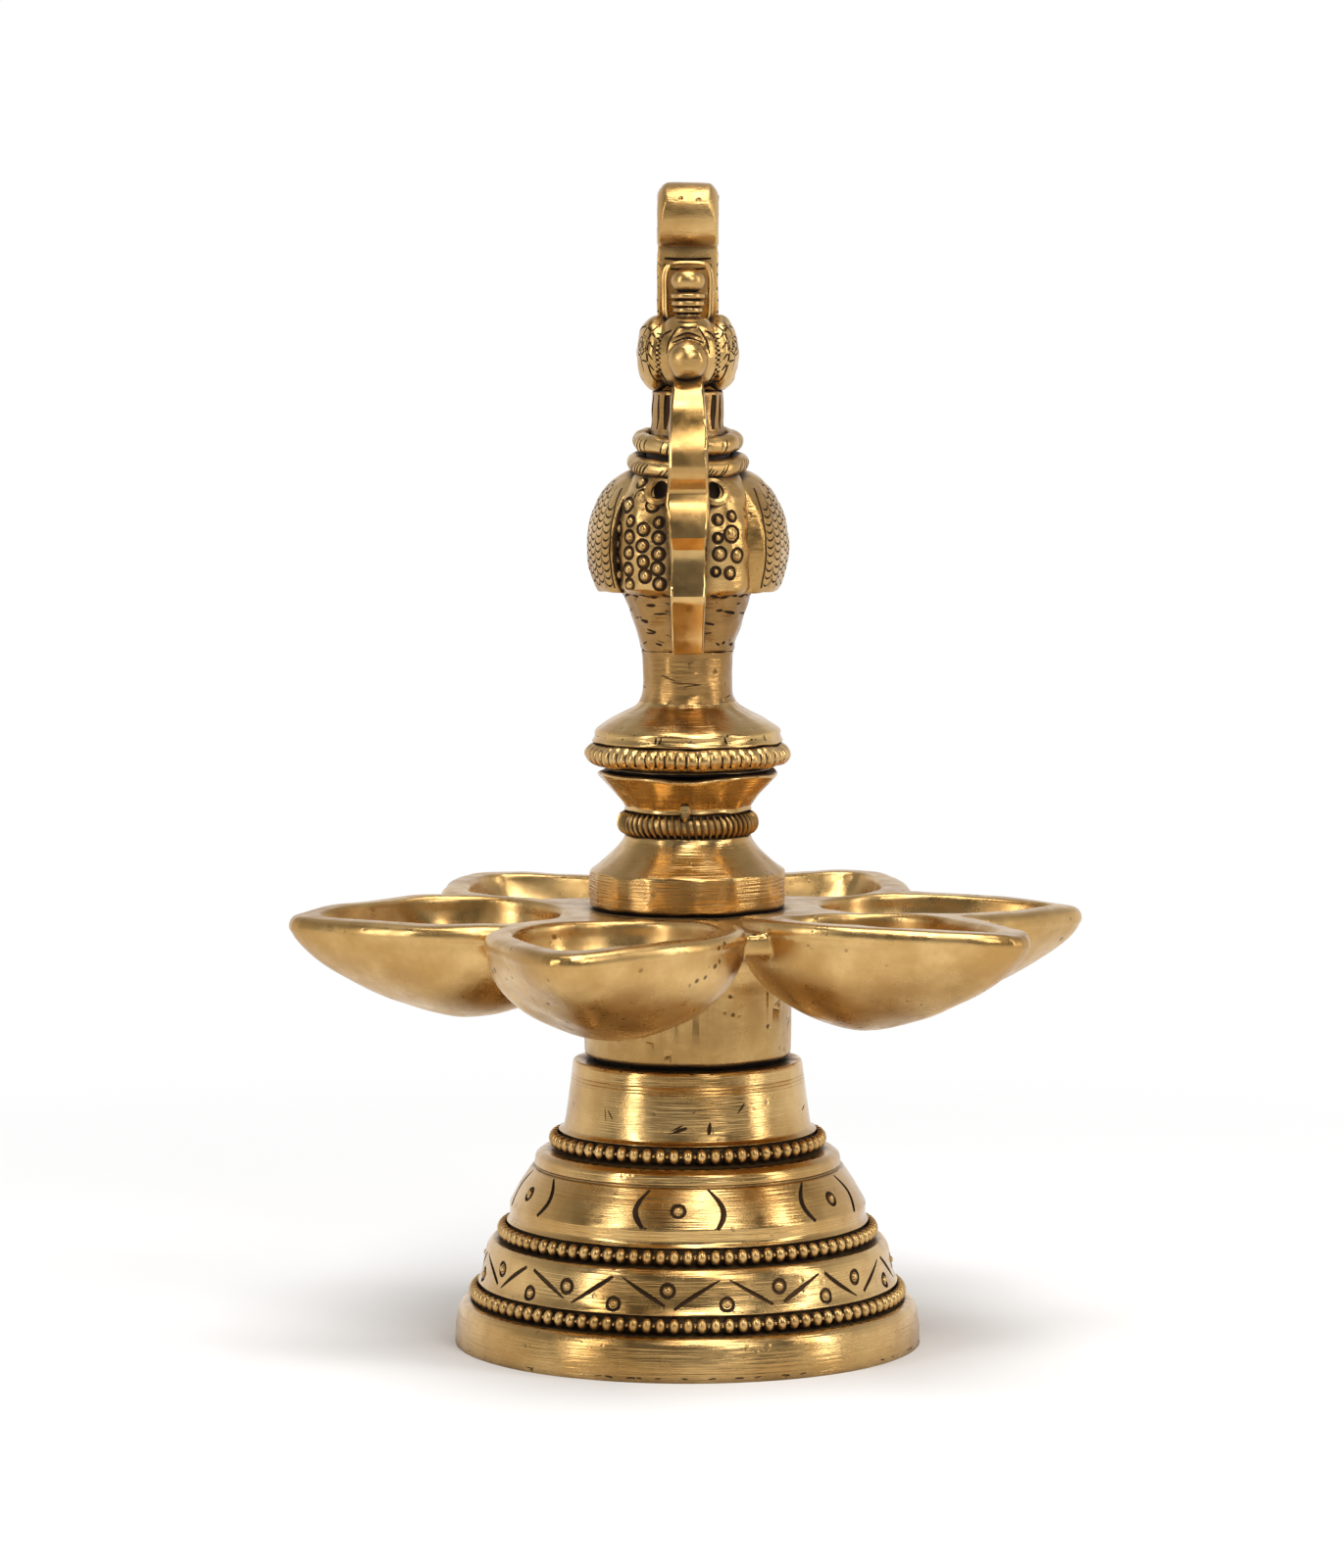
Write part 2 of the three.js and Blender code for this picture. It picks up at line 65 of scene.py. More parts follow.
class LampSizes(bpy.types.PropertyGroup):
    """Sizes of the ornament, which the castings carry"""

    bead_pitch: FloatProperty(
        name="Bead pitch", description="Distance between the beads of the beaded wires",
        default=0.00265, subtype="DISTANCE", unit="LENGTH")
    bead_width: FloatProperty(
        name="Bead width", description="Width of a bead along its wire",
        default=0.0021, subtype="DISTANCE", unit="LENGTH")
    groove_width: FloatProperty(
        name="Engraved line", description="Width of a line cut by the graver",
        default=0.0007, subtype="DISTANCE", unit="LENGTH")
    zigzag_count: IntProperty(
        name="Zigzags", description="Peaks of the zigzag round the base", default=12)


class LampColours(bpy.types.PropertyGroup):
    """Colours of the brass and its patina"""

    rubbed: FloatVectorProperty(
        name="Rubbed brass", description="Colour where hands and cloth keep the brass bright",
        default=(0.64, 0.42, 0.17), subtype="COLOR", size=3)
    aged: FloatVectorProperty(
        name="Aged brass", description="Colour of the brass that has darkened evenly",
        default=(0.45, 0.26, 0.085), subtype="COLOR", size=3)
    patina: FloatVectorProperty(
        name="Patina", description="Colour of the brown patina in the hollows",
        default=(0.035, 0.018, 0.008), subtype="COLOR", size=3)
    # The washers' near-black colour is painted shade: it stands for the shadowed gap at each screw joint
    washer_shade: FloatVectorProperty(
        name="Washer", description="Colour of the oily leather washers",
        default=(0.008, 0.006, 0.005), subtype="COLOR", size=3)


def sizes():
    return bpy.context.scene.lamp_sizes


def colours():
    return bpy.context.scene.lamp_colours


# Node trees

def link_nodes(tree, *pairs):
    for source, target in pairs:
        tree.links.new(source, target)


def ramp(tree, source, low, high, out_low=0.0, out_high=1.0):
    node = tree.nodes.new("ShaderNodeMapRange")
    node.interpolation_type = "SMOOTHSTEP"
    for name, value in (("From Min", low), ("From Max", high), ("To Min", out_low), ("To Max", out_high)):
        node.inputs[name].default_value = value
    tree.links.new(source, node.inputs["Value"])
    return node.outputs["Result"]


def feed(tree, socket, value):
    """Set a socket to a constant, or link it to another node's output"""
    if isinstance(value, (int, float, tuple)):
        socket.default_value = value
    else:
        tree.links.new(value, socket)


def math_node(tree, operation, first, second):
    node = tree.nodes.new("ShaderNodeMath")
    node.operation = operation
    feed(tree, node.inputs[0], first)
    feed(tree, node.inputs[1], second)
    return node.outputs[0]


def mix_colour(tree, factor, first, second):
    node = tree.nodes.new("ShaderNodeMix")
    node.data_type = "RGBA"
    for name, value in (("Factor", factor), ("A", first), ("B", second)):
        socket = [s for s in node.inputs if s.name == name and s.enabled][0]
        feed(tree, socket, value)
    return [s for s in node.outputs if s.enabled][0]


def noise(tree, vector, scale, detail=3.0, roughness=0.55):
    node = tree.nodes.new("ShaderNodeTexNoise")
    node.inputs["Scale"].default_value = scale
    node.inputs["Detail"].default_value = detail
    node.inputs["Roughness"].default_value = roughness
    tree.links.new(vector, node.inputs["Vector"])
    return node.outputs["Fac"]


def stretched_by(tree, vector, scale):
    node = tree.nodes.new("ShaderNodeVectorMath")
    node.operation = "MULTIPLY"
    tree.links.new(vector, node.inputs[0])
    tree.links.new(scale, node.inputs[1])
    return node.outputs["Vector"]


def aged_brass_group():
    """Colour, roughness and relief of cast brass: patina in the hollows, pits, turning or filing lines"""
    group = bpy.data.node_groups.get("aged_brass")
    if group:
        return group
    group = bpy.data.node_groups.new("aged_brass", "ShaderNodeTree")
    face = group.interface
    for name, kind, value in (
        ("Rubbed", "NodeSocketColor", (*colours().rubbed, 1)),
        ("Aged", "NodeSocketColor", (*colours().aged, 1)),
        ("Patina", "NodeSocketColor", (*colours().patina, 1)),
        ("Patina Amount", "NodeSocketFloat", 1.0),
        ("Patina Reach", "NodeSocketFloat", 0.003),
        ("Pits", "NodeSocketFloat", 0.5),
        ("Lines", "NodeSocketFloat", 0.5),
        ("Line Stretch", "NodeSocketVector", (1.0, 1.0, 30.0)),
        ("Roughness", "NodeSocketFloat", 0.3),
    ):
        socket = face.new_socket(name=name, in_out="INPUT", socket_type=kind)
        socket.default_value = value
    for name, kind in (
        ("Colour", "NodeSocketColor"),
        ("Roughness", "NodeSocketFloat"),
        ("Relief", "NodeSocketFloat"),
        ("Patina Mask", "NodeSocketFloat"),
    ):
        face.new_socket(name=name, in_out="OUTPUT", socket_type=kind)
    given = group.nodes.new("NodeGroupInput")
    made = group.nodes.new("NodeGroupOutput")
    place = group.nodes.new("ShaderNodeTexCoord").outputs["Object"]

    blotches = noise(group, place, scale=45.0, detail=4.0, roughness=0.6)
    mottle = noise(group, place, scale=210.0, detail=5.0, roughness=0.65)
    fine = noise(group, place, scale=1100.0, detail=3.0, roughness=0.6)
    swells = noise(group, place, scale=150.0, detail=1.0, roughness=0.5)
    stretched = stretched_by(group, place, given.outputs["Line Stretch"])
    lines = noise(group, stretched, scale=60.0, detail=2.5, roughness=0.55)

    hidden = group.nodes.new("ShaderNodeAmbientOcclusion")
    hidden.samples = 6
    hidden.only_local = False
    group.links.new(given.outputs["Patina Reach"], hidden.inputs["Distance"])
    recess = ramp(group, hidden.outputs["AO"], low=0.82, high=0.30)
    breakup = ramp(group, mottle, low=0.25, high=0.75, out_low=0.75, out_high=1.25)
    patina = math_node(group, "MULTIPLY", recess, breakup)
    patina = math_node(group, "MULTIPLY", patina, given.outputs["Patina Amount"])
    patina = math_node(group, "MINIMUM", patina, 1.0)

    cells = group.nodes.new("ShaderNodeTexVoronoi")
    cells.inputs["Scale"].default_value = 420.0
    cells.inputs["Randomness"].default_value = 1.0
    group.links.new(place, cells.inputs["Vector"])
    chosen = ramp(group, noise(group, place, scale=130.0, detail=2.0), low=0.56, high=0.66)
    dots = ramp(group, cells.outputs["Distance"], low=0.30, high=0.12)
    pit = math_node(group, "MULTIPLY", dots, chosen)
    pit = math_node(group, "MULTIPLY", pit, given.outputs["Pits"])

    rubbing = ramp(group, blotches, low=0.35, high=0.65)
    worn = mix_colour(group, rubbing, given.outputs["Aged"], given.outputs["Rubbed"])
    stains = ramp(group, mottle, low=0.40, high=0.72, out_low=0.0, out_high=0.35)
    worn = mix_colour(group, stains, worn, given.outputs["Aged"])
    colour = mix_colour(group, patina, worn, given.outputs["Patina"])
    colour = mix_colour(group, pit, colour, given.outputs["Patina"])

    uneven = ramp(group, mottle, low=0.3, high=0.7, out_low=-0.06, out_high=0.08)
    rough = math_node(group, "ADD", given.outputs["Roughness"], uneven)
    rough = math_node(group, "ADD", rough, math_node(group, "MULTIPLY", patina, 0.3))

    relief = math_node(group, "MULTIPLY", swells, 0.22)
    relief = math_node(group, "ADD", relief, math_node(group, "MULTIPLY", fine, 0.035))
    relief = math_node(group, "ADD", relief, math_node(group, "MULTIPLY", lines, given.outputs["Lines"]))
    relief = math_node(group, "SUBTRACT", relief, pit)

    link_nodes(
        group,
        (colour, made.inputs["Colour"]),
        (rough, made.inputs["Roughness"]),
        (relief, made.inputs["Relief"]),
        (patina, made.inputs["Patina Mask"]))
    return group


# What each finish changes in the aged brass: the strength of its relief, then inputs of the group
FINISHES = {
    "turned_brass": (0.26, {"Pits": 0.3, "Lines": 0.8, "Line Stretch": (1, 1, 45), "Roughness": 0.22}),
    "hand_finished_brass": (0.26, {"Pits": 0.8, "Lines": 0.12, "Line Stretch": (6, 6, 6)}),
    "polished_brass": (0.22, {"Pits": 0.5, "Lines": 0.1, "Line Stretch": (6, 6, 6), "Roughness": 0.2}),
    "carved_brass": (0.5, {"Pits": 0.7, "Lines": 0.4, "Line Stretch": (5, 5, 22), "Patina Amount": 1.7,
                           "Patina Reach": 0.0035}),
    "chased_brass": (0.3, {"Pits": 0.2, "Lines": 0.1, "Patina Amount": 1.35, "Patina Reach": 0.0016}),
    # Painted shade with darker patina: a darker copy of the brass for the vase under the wings, the neck
    # under the head and the finial's neck under the body
    "shade_and_patina_brass": (0.5, {"Pits": 0.6, "Lines": 0.5, "Line Stretch": (3, 3, 30), "Patina Amount": 1.6,
                              "Patina Reach": 0.004, "Rubbed": (0.44, 0.25, 0.085, 1),
                              "Aged": (0.26, 0.14, 0.045, 1)}),
    # The hub under the tray: darker and more pitted brass
    "darker_hub_brass": (0.35, {"Pits": 1.0, "Lines": 0.3, "Line Stretch": (3, 3, 9),
                          "Rubbed": (0.52, 0.33, 0.125, 1), "Aged": (0.35, 0.20, 0.065, 1)}),
    # The floor of a cut, where polish and dirt stay
    "engraved_brass": (0.3, {"Pits": 0.3, "Lines": 0.1, "Patina Amount": 2.5, "Patina Reach": 0.004,
                             "Rubbed": (0.10, 0.05, 0.018, 1), "Aged": (0.04, 0.02, 0.008, 1),
                             "Roughness": 0.5}),
}
BRASS_RELIEF = 0.0006


def brass_finish(name):
    """The material of one of the finishes, made when it is first asked for"""
    material = bpy.data.materials.get(name)
    if material:
        return material
    strength, values = FINISHES[name]
    material = bpy.data.materials.new(name)
    material.use_nodes = True
    tree = material.node_tree
    shader = tree.nodes["Principled BSDF"]
    finish = tree.nodes.new("ShaderNodeGroup")
    finish.node_tree = aged_brass_group()
    for key, value in values.items():
        finish.inputs[key].default_value = value
    raised = tree.nodes.new("ShaderNodeBump")
    raised.inputs["Strength"].default_value = strength
    raised.inputs["Distance"].default_value = BRASS_RELIEF
    dirt = math_node(tree, "MULTIPLY", finish.outputs["Patina Mask"], 0.6)
    metal = math_node(tree, "SUBTRACT", 1.0, dirt)
    link_nodes(
        tree,
        (finish.outputs["Colour"], shader.inputs["Base Color"]),
        (finish.outputs["Roughness"], shader.inputs["Roughness"]),
        (finish.outputs["Relief"], raised.inputs["Height"]),
        (raised.outputs["Normal"], shader.inputs["Normal"]),
        (metal, shader.inputs["Metallic"]))
    return material


# Near-black washers with a fine grain: painted shade for the shadowed gap at each screw joint
def washer_shade_material():
    material = bpy.data.materials.new("washer_painted_shade")
    material.use_nodes = True
    tree = material.node_tree
    shader = tree.nodes["Principled BSDF"]
    shader.inputs["Roughness"].default_value = 0.95
    shader.inputs["Specular IOR Level"].default_value = 0.15
    place = tree.nodes.new("ShaderNodeTexCoord").outputs["Object"]
    grain = noise(tree, place, scale=1500.0, detail=4.0, roughness=0.6)
    dark = (*colours().washer_shade, 1)
    light = tuple(2.2 * value for value in colours().washer_shade) + (1,)
    raised = tree.nodes.new("ShaderNodeBump")
    raised.inputs["Strength"].default_value = 0.4
    raised.inputs["Distance"].default_value = 0.0002
    link_nodes(
        tree,
        (mix_colour(tree, grain, dark, light), shader.inputs["Base Color"]),
        (grain, raised.inputs["Height"]),
        (raised.outputs["Normal"], shader.inputs["Normal"]))
    return material


def darken_band(piece, low, high, reach=100, finish="shade_and_patina_brass"):
    """Darken the faces of a piece between two heights and within a distance of the axis; the default finish
    paints shade there, with darker patina
    """
    piece.data.materials.append(brass_finish(finish))
    last = len(piece.data.materials) - 1
    for face in piece.data.polygons:
        inside = low * MM < face.center.z < high * MM and face.center.xy.length < reach * MM
        if face.material_index == 0 and inside:
            face.material_index = last


# Modelling

MERGE = 1e-6


def deselect_all():
    bpy.ops.object.select_all(action="DESELECT")


def select_only(piece):
    deselect_all()
    piece.select_set(True)
    bpy.context.view_layer.objects.active = piece


def set_material(piece, material):
    piece.data.materials.clear()
    piece.data.materials.append(material)


def rounded(corners, arc_steps=4):
    """Turn radius, height, rounding corners into an outline whose corners are small arcs"""
    outline = []
    count = len(corners)
    for index, corner in enumerate(corners):
        here = Vector(corner[:2])
        size = corner[2] if len(corner) > 2 else 0
        if not size or index in (0, count - 1):
            outline.append(tuple(here))
            continue
        back = Vector(corners[index - 1][:2]) - here
        ahead = Vector(corners[index + 1][:2]) - here
        start = here + back.normalized() * min(size, 0.45 * back.length)
        end = here + ahead.normalized() * min(size, 0.45 * ahead.length)
        for step in range(arc_steps + 1):
            part = step / arc_steps
            point = start.lerp(here, part).lerp(here.lerp(end, part), part)
            outline.append(tuple(point))
    return outline


def turned(name, outline, steps=180, closed=False):
    """Extrude a point along an outline of radius and height in millimetres, and spin it round Z"""
    deselect_all()
    bpy.ops.mesh.primitive_plane_add(size=MM, location=(0, 0, 0))
    piece = bpy.context.object
    piece.name = name
    bpy.ops.object.mode_set(mode="EDIT")
    bpy.ops.mesh.merge(type="CENTER")
    corners = outline + outline[:1] if closed else outline
    bpy.ops.transform.translate(value=(corners[0][0] * MM, 0, corners[0][1] * MM))
    for here, there in zip(corners, corners[1:]):
        move = ((there[0] - here[0]) * MM, 0, (there[1] - here[1]) * MM)
        bpy.ops.mesh.extrude_vertices_move(TRANSFORM_OT_translate={"value": move})
    bpy.ops.mesh.select_all(action="SELECT")
    bpy.ops.mesh.spin(steps=steps, angle=2 * math.pi, center=(0, 0, 0), axis=(0, 0, 1))
    tidy_mesh()
    return piece


def tidy_mesh():
    """Merge doubles and point the faces outwards, in edit mode, and leave edit mode"""
    bpy.ops.mesh.select_all(action="SELECT")
    bpy.ops.mesh.remove_doubles(threshold=MERGE)
    bpy.ops.mesh.normals_make_consistent(inside=False)
    bpy.ops.object.mode_set(mode="OBJECT")


def ball(name, centre, radii, segments=24, rings=16, turn=None):
    """An ellipsoid in millimetres, with its place in its mesh"""
    deselect_all()
    bpy.ops.mesh.primitive_uv_sphere_add(segments=segments, ring_count=rings, radius=MM, location=(0, 0, 0))
    piece = bpy.context.object
    piece.name = name
    place = Matrix.Translation(Vector(centre) * MM)
    if turn:
        place = place @ turn
    piece.data.transform(place @ Matrix.Diagonal((*radii, 1)))
    return piece


def repeat_round(piece, count):
    """Copy a piece round Z in edit mode"""
    select_only(piece)
    bpy.ops.object.mode_set(mode="EDIT")
    bpy.ops.mesh.select_all(action="SELECT")
    bpy.ops.mesh.spin(steps=count, dupli=True, angle=2 * math.pi, center=(0, 0, 0), axis=(0, 0, 1))
    tidy_mesh()
    return piece


def joined(name, pieces):
    deselect_all()
    for piece in pieces:
        piece.select_set(True)
    bpy.context.view_layer.objects.active = pieces[0]
    bpy.ops.object.join()
    pieces[0].name = name
    return pieces[0]


def apply_modifier(piece, modifier):
    select_only(piece)
    bpy.ops.object.modifier_apply(modifier=modifier.name)


# A Boolean that leaves less than this part of a piece's faces has gone wrong
LEAST_LEFT = 1 / 6


def combine(piece, tool, operation):
    """Cut a piece with a tool, or weld the tool to it"""
    modifier = piece.modifiers.new(operation.lower(), "BOOLEAN")
    modifier.solver = "MANIFOLD"
    modifier.operation = operation
    modifier.object = tool
    modifier.material_mode = "TRANSFER"
    before = len(piece.data.polygons)
    apply_modifier(piece, modifier)
    bpy.data.objects.remove(tool)
    if len(piece.data.polygons) < before * LEAST_LEFT:
        raise RuntimeError(f"{piece.name}: the {operation.lower()} lost the piece")


def graver_marks(name, strokes, width, material=None):
    """Tapered cuts in millimetres. A stroke tells whether it is closed, then its points and their widths"""
    curve = bpy.data.curves.new(name, "CURVE")
    curve.dimensions = "3D"
    curve.bevel_depth = width / 2 * MM
    curve.bevel_resolution = 1
    curve.use_fill_caps = True
    for closed, points in strokes:
        line = curve.splines.new("POLY")
        line.points.add(len(points) - 1)
        line.use_cyclic_u = closed
        for spot, (place, part) in zip(line.points, points):
            spot.co = (*(Vector(place) * MM), 1)
            spot.radius = part
    tool = bpy.data.objects.new(name, curve)
    bpy.context.scene.collection.objects.link(tool)
    select_only(tool)
    bpy.ops.object.convert(target="MESH")
    tool = bpy.context.object
    bpy.ops.object.mode_set(mode="EDIT")
    tidy_mesh()
    if material:
        tool.data.materials.append(material)
    return tool


def engrave(piece, name, strokes, width):
    """Cut strokes into a piece and darken their floors"""
    combine(piece, graver_marks(name, strokes, width, brass_finish("engraved_brass")), "DIFFERENCE")


# How quickly the unevenness of a turned piece changes round its axis
UNEVEN_ROUND = 3.1


def hand_turned(piece, amount, reach=6.0, rise=1.0):
    """Move the points a little in and out and up and down, as on a casting that was filed by hand"""
    for vertex in piece.data.vertices:
        x, y, z = vertex.co
        radius = math.hypot(x, y)
        if radius < MERGE:
            continue
        spot = Vector((x / radius * UNEVEN_ROUND, y / radius * UNEVEN_ROUND, z / MM / reach))
        outward = noise_field.noise(spot) * amount * MM
        upward = noise_field.noise(spot * 1.3 + Vector((9, 4, 7))) * amount * rise * MM
        vertex.co = (x * (1 + outward / radius), y * (1 + outward / radius), z + upward)


def smooth(piece, degrees=35):
    select_only(piece)
    bpy.ops.object.shade_smooth_by_angle(angle=math.radians(degrees))


def even_shading(piece):
    modifier = piece.modifiers.new("even_shading", "WEIGHTED_NORMAL")
    modifier.keep_sharp = True
    apply_modifier(piece, modifier)


def hand_shaped(piece, amount, reach=5.0):
    """Push the surface a little in and out, as on a casting that was filed by hand"""
    normals = [vertex.normal.copy() for vertex in piece.data.vertices]
    for vertex, normal in zip(piece.data.vertices, normals):
        push = noise_field.noise(vertex.co / MM / reach) * amount * MM
        vertex.co += normal * push


def melt(piece, voxel, rounds, limit=190000):
    """Let the parts of a piece flow together, as cast wax does"""
    remesh = piece.modifiers.new("flow", "REMESH")
    remesh.mode = "VOXEL"
    remesh.voxel_size = voxel * MM
    remesh.use_smooth_shade = True
    apply_modifier(piece, remesh)
    soften = piece.modifiers.new("soften", "SMOOTH")
    soften.factor = 0.5
    soften.iterations = rounds
    apply_modifier(piece, soften)
    triangles = 2 * len(piece.data.polygons)
    if triangles > limit:
        thin = piece.modifiers.new("thin", "DECIMATE")
        thin.ratio = limit / triangles
        apply_modifier(piece, thin)


def cast_in_one(piece, voxel, rounds, depth, reach, finish):
    """Melt a piece's parts together, make its surface a little uneven and give it its finish"""
    melt(piece, voxel, rounds)
    hand_shaped(piece, depth, reach)
    set_material(piece, brass_finish(finish))


def plate(name, outline, width, width_at=None, bevel=0.4, segments=3):
    """A plate cut to an outline of Y, Z points in millimetres, centred on X = 0, with rounded edges"""
    deselect_all()
    bpy.ops.mesh.primitive_plane_add(size=MM, location=(0, 0, 0))
    piece = bpy.context.object
    piece.name = name
    bpy.ops.object.mode_set(mode="EDIT")
    bpy.ops.mesh.merge(type="CENTER")
    bpy.ops.transform.translate(value=(-width / 2 * MM, outline[0][0] * MM, outline[0][1] * MM))
    for here, there in zip(outline, outline[1:] + outline[:1]):
        move = (0, (there[0] - here[0]) * MM, (there[1] - here[1]) * MM)
        bpy.ops.mesh.extrude_vertices_move(TRANSFORM_OT_translate={"value": move})
    bpy.ops.mesh.select_all(action="SELECT")
    bpy.ops.mesh.remove_doubles(threshold=MERGE)
    bpy.ops.mesh.edge_face_add()
    bpy.ops.mesh.extrude_region_move(TRANSFORM_OT_translate={"value": (width * MM, 0, 0)})
    tidy_mesh()
    if width_at:
        for vertex in piece.data.vertices:
            vertex.co.x *= width_at(vertex.co.z / MM)
    if bevel:
        edge = piece.modifiers.new("edges", "BEVEL")
        edge.width = bevel * MM
        edge.segments = segments
        edge.limit_method = "ANGLE"
        edge.angle_limit = math.radians(50)
        apply_modifier(piece, edge)
    return piece


def smooth_curve(points, steps):
    """A Catmull-Rom curve through points, with its ends carried on"""
    spots = [Vector(point) for point in points]
    spots = [2 * spots[0] - spots[1], *spots, 2 * spots[-1] - spots[-2]]
    curve = []
    for index in range(1, len(spots) - 2):
        a, b, c, d = spots[index - 1:index + 3]
        for step in range(steps):
            t = step / steps
            curve.append(0.5 * (2 * b + (c - a) * t + (2 * a - 5 * b + 4 * c - d) * t ** 2
                                + (3 * b - a - 3 * c + d) * t ** 3))
    curve.append(spots[-2])
    return curve


def strip_outline(points, steps, thickness_at):
    """Both sides of a strip of changing thickness along a curve of Y, Z points"""
    curve = smooth_curve(points, steps)
    left, right = [], []
    for index, spot in enumerate(curve):
        ahead = curve[min(index + 1, len(curve) - 1)]
        behind = curve[max(index - 1, 0)]
        along = (ahead - behind).normalized()
        half = thickness_at(index / (len(curve) - 1)) / 2
        left.append((spot[0] - along[1] * half, spot[1] + along[0] * half))
        right.append((spot[0] + along[1] * half, spot[1] - along[0] * half))
    return left + right[::-1]


BODY_OF = {node: body for body, nodes in frame["record"]["behaviour"]["bodies"].items() for node in nodes}


def hand_over(piece, node, material=None):
    """Set the finish of a piece and let it stand for its CAD node"""
    if material:
        set_material(piece, material)
    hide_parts(node)
    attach(piece, BODY_OF[node])


def finish_piece(piece, node, degrees, material=None):
    """Shade a piece smooth up to an angle between its faces, then let it stand for its CAD node"""
    smooth(piece, degrees)
    even_shading(piece)
    hand_over(piece, node, material)


def radius_at(edge_line, height):
    """The radius of a turned face at a height, from its line of radius, height points"""
    for (low_radius, low), (high_radius, high) in zip(edge_line, edge_line[1:]):
        if low <= height <= high:
            return low_radius + (high_radius - low_radius) * (height - low) / (high - low)
    return edge_line[0][0] if height < edge_line[0][1] else edge_line[-1][0]


def on_cone(azimuth, height, edge_line, out=0.0, swell=None):
    """A point on a turned face, with the azimuth in degrees from the front towards +X"""
    angle = math.radians(azimuth)
    radius = radius_at(edge_line, height)
    if swell:
        radius *= swell(azimuth, height)
    radius += out
    return Vector((radius * math.sin(angle), -radius * math.cos(angle), height))


def ring_on(azimuth, height, edge_line, radius, out=0.0, steps=16, swell=None):
    """A closed ring cut, lying on a turned face"""
    centre = on_cone(azimuth, height, edge_line, out, swell)
    right = on_cone(azimuth + 2, height, edge_line, out, swell)
    left = on_cone(azimuth - 2, height, edge_line, out, swell)
    across = right - left
    upward = on_cone(azimuth, height + 0.5, edge_line, out, swell) - centre
    across.normalize()
    upward.normalize()
    points = []
    for step in range(steps):
        angle = 2 * math.pi * step / steps
        points.append((centre + radius * (math.cos(angle) * across + math.sin(angle) * upward), 1.0))
    return True, points


THINNEST_CUT = 0.15


def stroke_on(start, end, edge_line, out=0.0, steps=6, taper=(0.25, 1.0), bulge=0.0, swell=None):
    """A tapered cut between two azimuth, height points on a turned face"""
    points = []
    for step in range(steps + 1):
        part = step / steps
        azimuth = start[0] + (end[0] - start[0]) * part + bulge * math.sin(math.pi * part)
        height = start[1] + (end[1] - start[1]) * part
        width = taper[0] + (taper[1] - taper[0]) * math.sin(math.pi * min(1.0, 0.08 + 0.92 * part) / 1.25)
        points.append((on_cone(azimuth, height, edge_line, out, swell), max(THINNEST_CUT, width)))
    return False, points


def hit_point(piece, start, direction, out=0.0):
    """Where a line meets a piece, in millimetres, or None"""
    found, spot, normal, _ = piece.ray_cast(Vector(start) * MM, Vector(direction))
    return spot / MM + normal * out if found else None


# How far outside the bird a line of sight starts, and how high a cut lies over the surface
SIGHT_START = 60
CUT_LIFT = 0.03


def front_stroke(piece, spots, width, steps=5):
    """A cut drawn in the front view through X, Z points, lying on the piece's surface"""
    sights = [((spot[0], -SIGHT_START, spot[1]), (0, 1, 0)) for spot in smooth_curve(spots, steps)]
    return surface_stroke(piece, sights, width)


def side_stroke(piece, side, spots, width, steps=5, closed=False):
    """The same in the side view through Y, Z points"""
    curve = [Vector(spot) for spot in spots] if closed else smooth_curve(spots, steps)
    sights = [((side * SIGHT_START, spot[0], spot[1]), (-side, 0, 0)) for spot in curve]
    return surface_stroke(piece, sights, width, closed)


def surface_stroke(piece, sights, width, closed=False):
    """A cut through the points that lines of sight meet, which thins out to its ends unless it is closed"""
    places = [hit_point(piece, start, direction, CUT_LIFT) for start, direction in sights]
    places = [place for place in places if place]
    last = max(1, len(places) - 1)
    points = []
    for index, place in enumerate(places):
        part = 1.0 if closed else 0.3 + 0.7 * math.sin(math.pi * (0.12 + 0.8 * index / last))
        points.append((place, width * part))
    return closed, points


# Stage

class LAMP_OT_stage(bpy.types.Operator):
    """Set the camera, the pale floor and the soft studio light"""

    bl_idname = "lamp.stage"
    bl_label = "Stage"

    def execute(self, context):
        scene = context.scene
        scene.view_settings.view_transform = "Standard"
        add_camera(scene)
        add_world(scene)
        add_floor()
        for box in SOFT_BOXES:
            add_soft_box(*box)
        return {"FINISHED"}


LENS_PIXELS = 5860
FRAME_HEIGHT_PIXELS = 1600
SENSOR = 36
CAMERA_PLACE = (-0.0031, -1.1306, 0.2132)
CAMERA_PITCH = 5.16
FLOOR_RADIUS = 3.0
FLOOR_COLOUR = (0.86, 0.855, 0.85, 1)
# Between these distances from the lamp the floor fades into the white background
FLOOR_FADE = (0.12, 0.42)

# Azimuth from the camera's side towards +X, height angle, distance, width, height, brightness
SOFT_BOXES = (
    ("soft_box_front", 26, 32, 1.15, 0.30, 0.55, 5.5),
    ("strip_box_left", -54, 22, 1.0, 0.10, 0.85, 11.0),
    ("strip_box_right", 72, 22, 1.0, 0.10, 0.85, 11.0),
    ("soft_box_high", 8, 56, 1.1, 0.30, 0.30, 9.0),
    ("soft_box_top", 20, 84, 1.1, 0.70, 0.70, 5.5),
)
AIM = (0, 0, 0.11)


def add_camera(scene):
    camera = bpy.data.cameras.new("camera")
    camera.sensor_width = SENSOR
    camera.lens = LENS_PIXELS / FRAME_HEIGHT_PIXELS * SENSOR
    camera.clip_start = 0.05
    holder = bpy.data.objects.new("camera", camera)
    scene.collection.objects.link(holder)
    holder.location = CAMERA_PLACE
    holder.rotation_euler = (math.radians(90 - CAMERA_PITCH), 0, 0)
    scene.camera = holder


